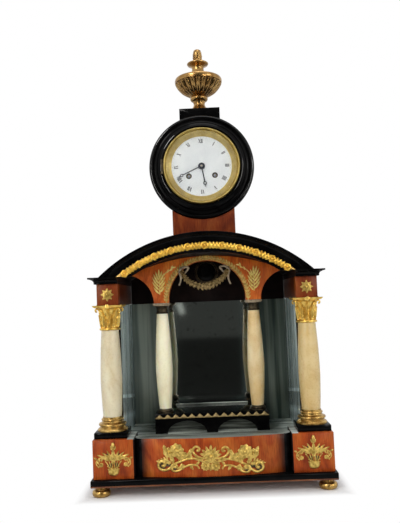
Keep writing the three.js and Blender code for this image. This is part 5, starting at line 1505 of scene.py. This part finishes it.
def stroke(bm, start, end, wide):
    a, b = Vector((*start, 0)), Vector((*end, 0))
    bar = bmesh.ops.create_cube(bm, size=1)["verts"]
    bmesh.ops.scale(bm, vec=(wide, (b - a).length, 0.1), verts=bar)
    angle = math.degrees(math.atan2((b - a).x, (b - a).y))
    move(bm, spot(*((a + b) / 2).xy, angle), bar)


def letter(bm, c, place):
    old = set(bm.verts)
    for start, end, thick in letters[c][1]:
        stroke(bm, start, end, thick)
    for x in letters[c][2]:
        for y in (TALL,) if c == "V" else (TALL, 0):
            stroke(bm, (x - SERIF, y), (x + SERIF, y), SERIF_THICK)
    move(bm, place, added(bm, old))


bm = bmesh.new()
for hour, word in enumerate("I II III IIII V VI VII VIII IX X XI XII".split(), 1):
    x = -sum(letters[c][0] for c in word) / 2
    for c in word:
        half = letters[c][0] / 2
        letter(bm, c, spot(0, 0, 30 * hour) @ Matrix.Translation((x + half, HOUR_FOOT, 0)))
        x += 2 * half
for minute in range(60):
    old = set(bm.verts)
    stroke(bm, (0, 42.4), (0, 43.2), 0.5 if minute % 5 == 0 else 0.2)
    move(bm, spot(0, 0, 6 * minute), added(bm, old))
move(bm, on_front(0, DIAL_FRONT - 0.02, CENTRE))
put("dial_hours", bm, "dial_paint")

# %% winding hole rims
HOLE_ASIDE, HOLE_BELOW = 19.2, 14
hole_rim = [(2.5, -1.4), (3.5, -1.4), (3.5, -0.2), (4.2, -0.2), (4.2, 0.15), (3.9, 0.4), (3.5, 0.2),
            (3.0, -0.5), (2.5, -0.9), (2.5, -1.4)]
bm = bmesh.new()
for side in SIDES.values():
    turn(bm, hole_rim, 32, (side * HOLE_ASIDE, DIAL_FRONT, CENTRE - HOLE_BELOW), True)
put("winding_rims", bm, "dark_bronze")

# %% [markdown]
# ## The bob's beaded rim and the rear door's knob
# Seen through the middle arch, the pendulum bob is a black disc inside a dark ring of beads. The ring is
# turned, the beads are set round it, and both swing with the pendulum. The door at the back of the drum
# gets a small turned knob.

# %% bob rim
PENDULUM = 182.6
bob_height = round(joint_at["pendulum_swing"].z - PENDULUM, 1)
bob_ring = [(14.6, -2.4), (17.6, -2.4), (18.4, -1.2), (18.4, 1.2), (17.4, 2.6), (15.2, 4.6), (14.6, 4.6),
            (14.6, -2.4)]
bm = bmesh.new()
bead_circle(bm, 36, 17.7, 1.4, 2.4)
move(bm, FACING)
turn(bm, bob_ring, 64, facing=True)
move(bm, Matrix.Translation((0, centre("pendulum").y, bob_height)))
put("bob_beads", bm, "dark_bronze", body="pendulum")
bpy.data.meshes.remove(one_bead)

# %% door knob
KNOB_ASIDE, DOOR_FACE = -56, 58.7
knob_line = [(0, -0.4), (3.4, -0.4), (3.4, 0.4), (1.6, 1.2)]
knob_line += smooth_line([(1.6, 1.2), (1.5, 2.6), (3, 4), (3.2, 5.4), (2, 6.6), (0, 7)], 3)
bm = bmesh.new()
turn(bm, knob_line, 28)
move(bm, Matrix.Translation((KNOB_ASIDE, DOOR_FACE, CENTRE)) @ Matrix.Rotation(math.radians(-90), 4, "X"))
put("door_knob", bm, "bezel_gilt", body="rear_door")

# %% [markdown]
# ## Plates in the bridge's arches
# The grey-green plate of the niche's floor runs on under the bridge as pale strips, a painted highlight
# along the foot of each arch, and an upright slip closes each arch a little way in, with a painted reflection
# of the niche beyond. The slips could be plain boards pushed into the wood, but each is cut to the arch's own
# curve: half a disc, drawn out to the arch's span and crown, and given a thickness. A pale line along the
# mirror's foot is a painted highlight too.

# %% plates in the arches
FLOOR_TOP = corners("niche_floor")[1].z
ARCH_SPAN, ARCH_CROWN, ARCH_MIDDLE = 59, 18, 37.5
SLIP_DEEP, SLIP_AT, BACK_AT, PROUD = 13, -3, 4, 0.2
# The floor slips are pale plate, a painted highlight along the foot of each arch.
bm = bmesh.new()
for side in SIDES.values():
    block(bm, (ARCH_SPAN - 1, SLIP_DEEP, 0.5), (side * ARCH_MIDDLE, SLIP_AT, FLOOR_TOP + PROUD))
ease(bm, 0.1, 1, 60)
put("arch_floor_slips", bm, "painted_highlight_plate")

# The upright sheets carry a painted reflection of the niche seen through the arches.
bm = bmesh.new()
for side in SIDES.values():
    old = set(bm.verts)
    bmesh.ops.create_circle(bm, cap_ends=True, radius=1, segments=64)
    half_disc = Matrix.Diagonal((ARCH_SPAN / 2 - 0.1, ARCH_CROWN - 0.1, 1, 1))
    move(bm, on_front(side * ARCH_MIDDLE, BACK_AT, FLOOR_TOP) @ half_disc, added(bm, old))
cut(bm, (0, 0, FLOOR_TOP + PROUD), (0, 0, -1), True)
bmesh.ops.solidify(bm, geom=bm.faces[:], thickness=1.5)
put("arch_backs", bm, "painted_reflection_plate")

# %% mirror's foot
# The pale line is a painted highlight along the mirror's foot.
FOOT_HALF = 58
bm = bmesh.new()
stem(bm, [(-FOOT_HALF, 0), (FOOT_HALF, 0)], 0.7, 0.7, 8, 1)
move(bm, on_front(0, bridge_high.y - 0.6, bridge_high.z + 0.3))
put("mirror_foot_line", bm, "painted_highlight_plate")
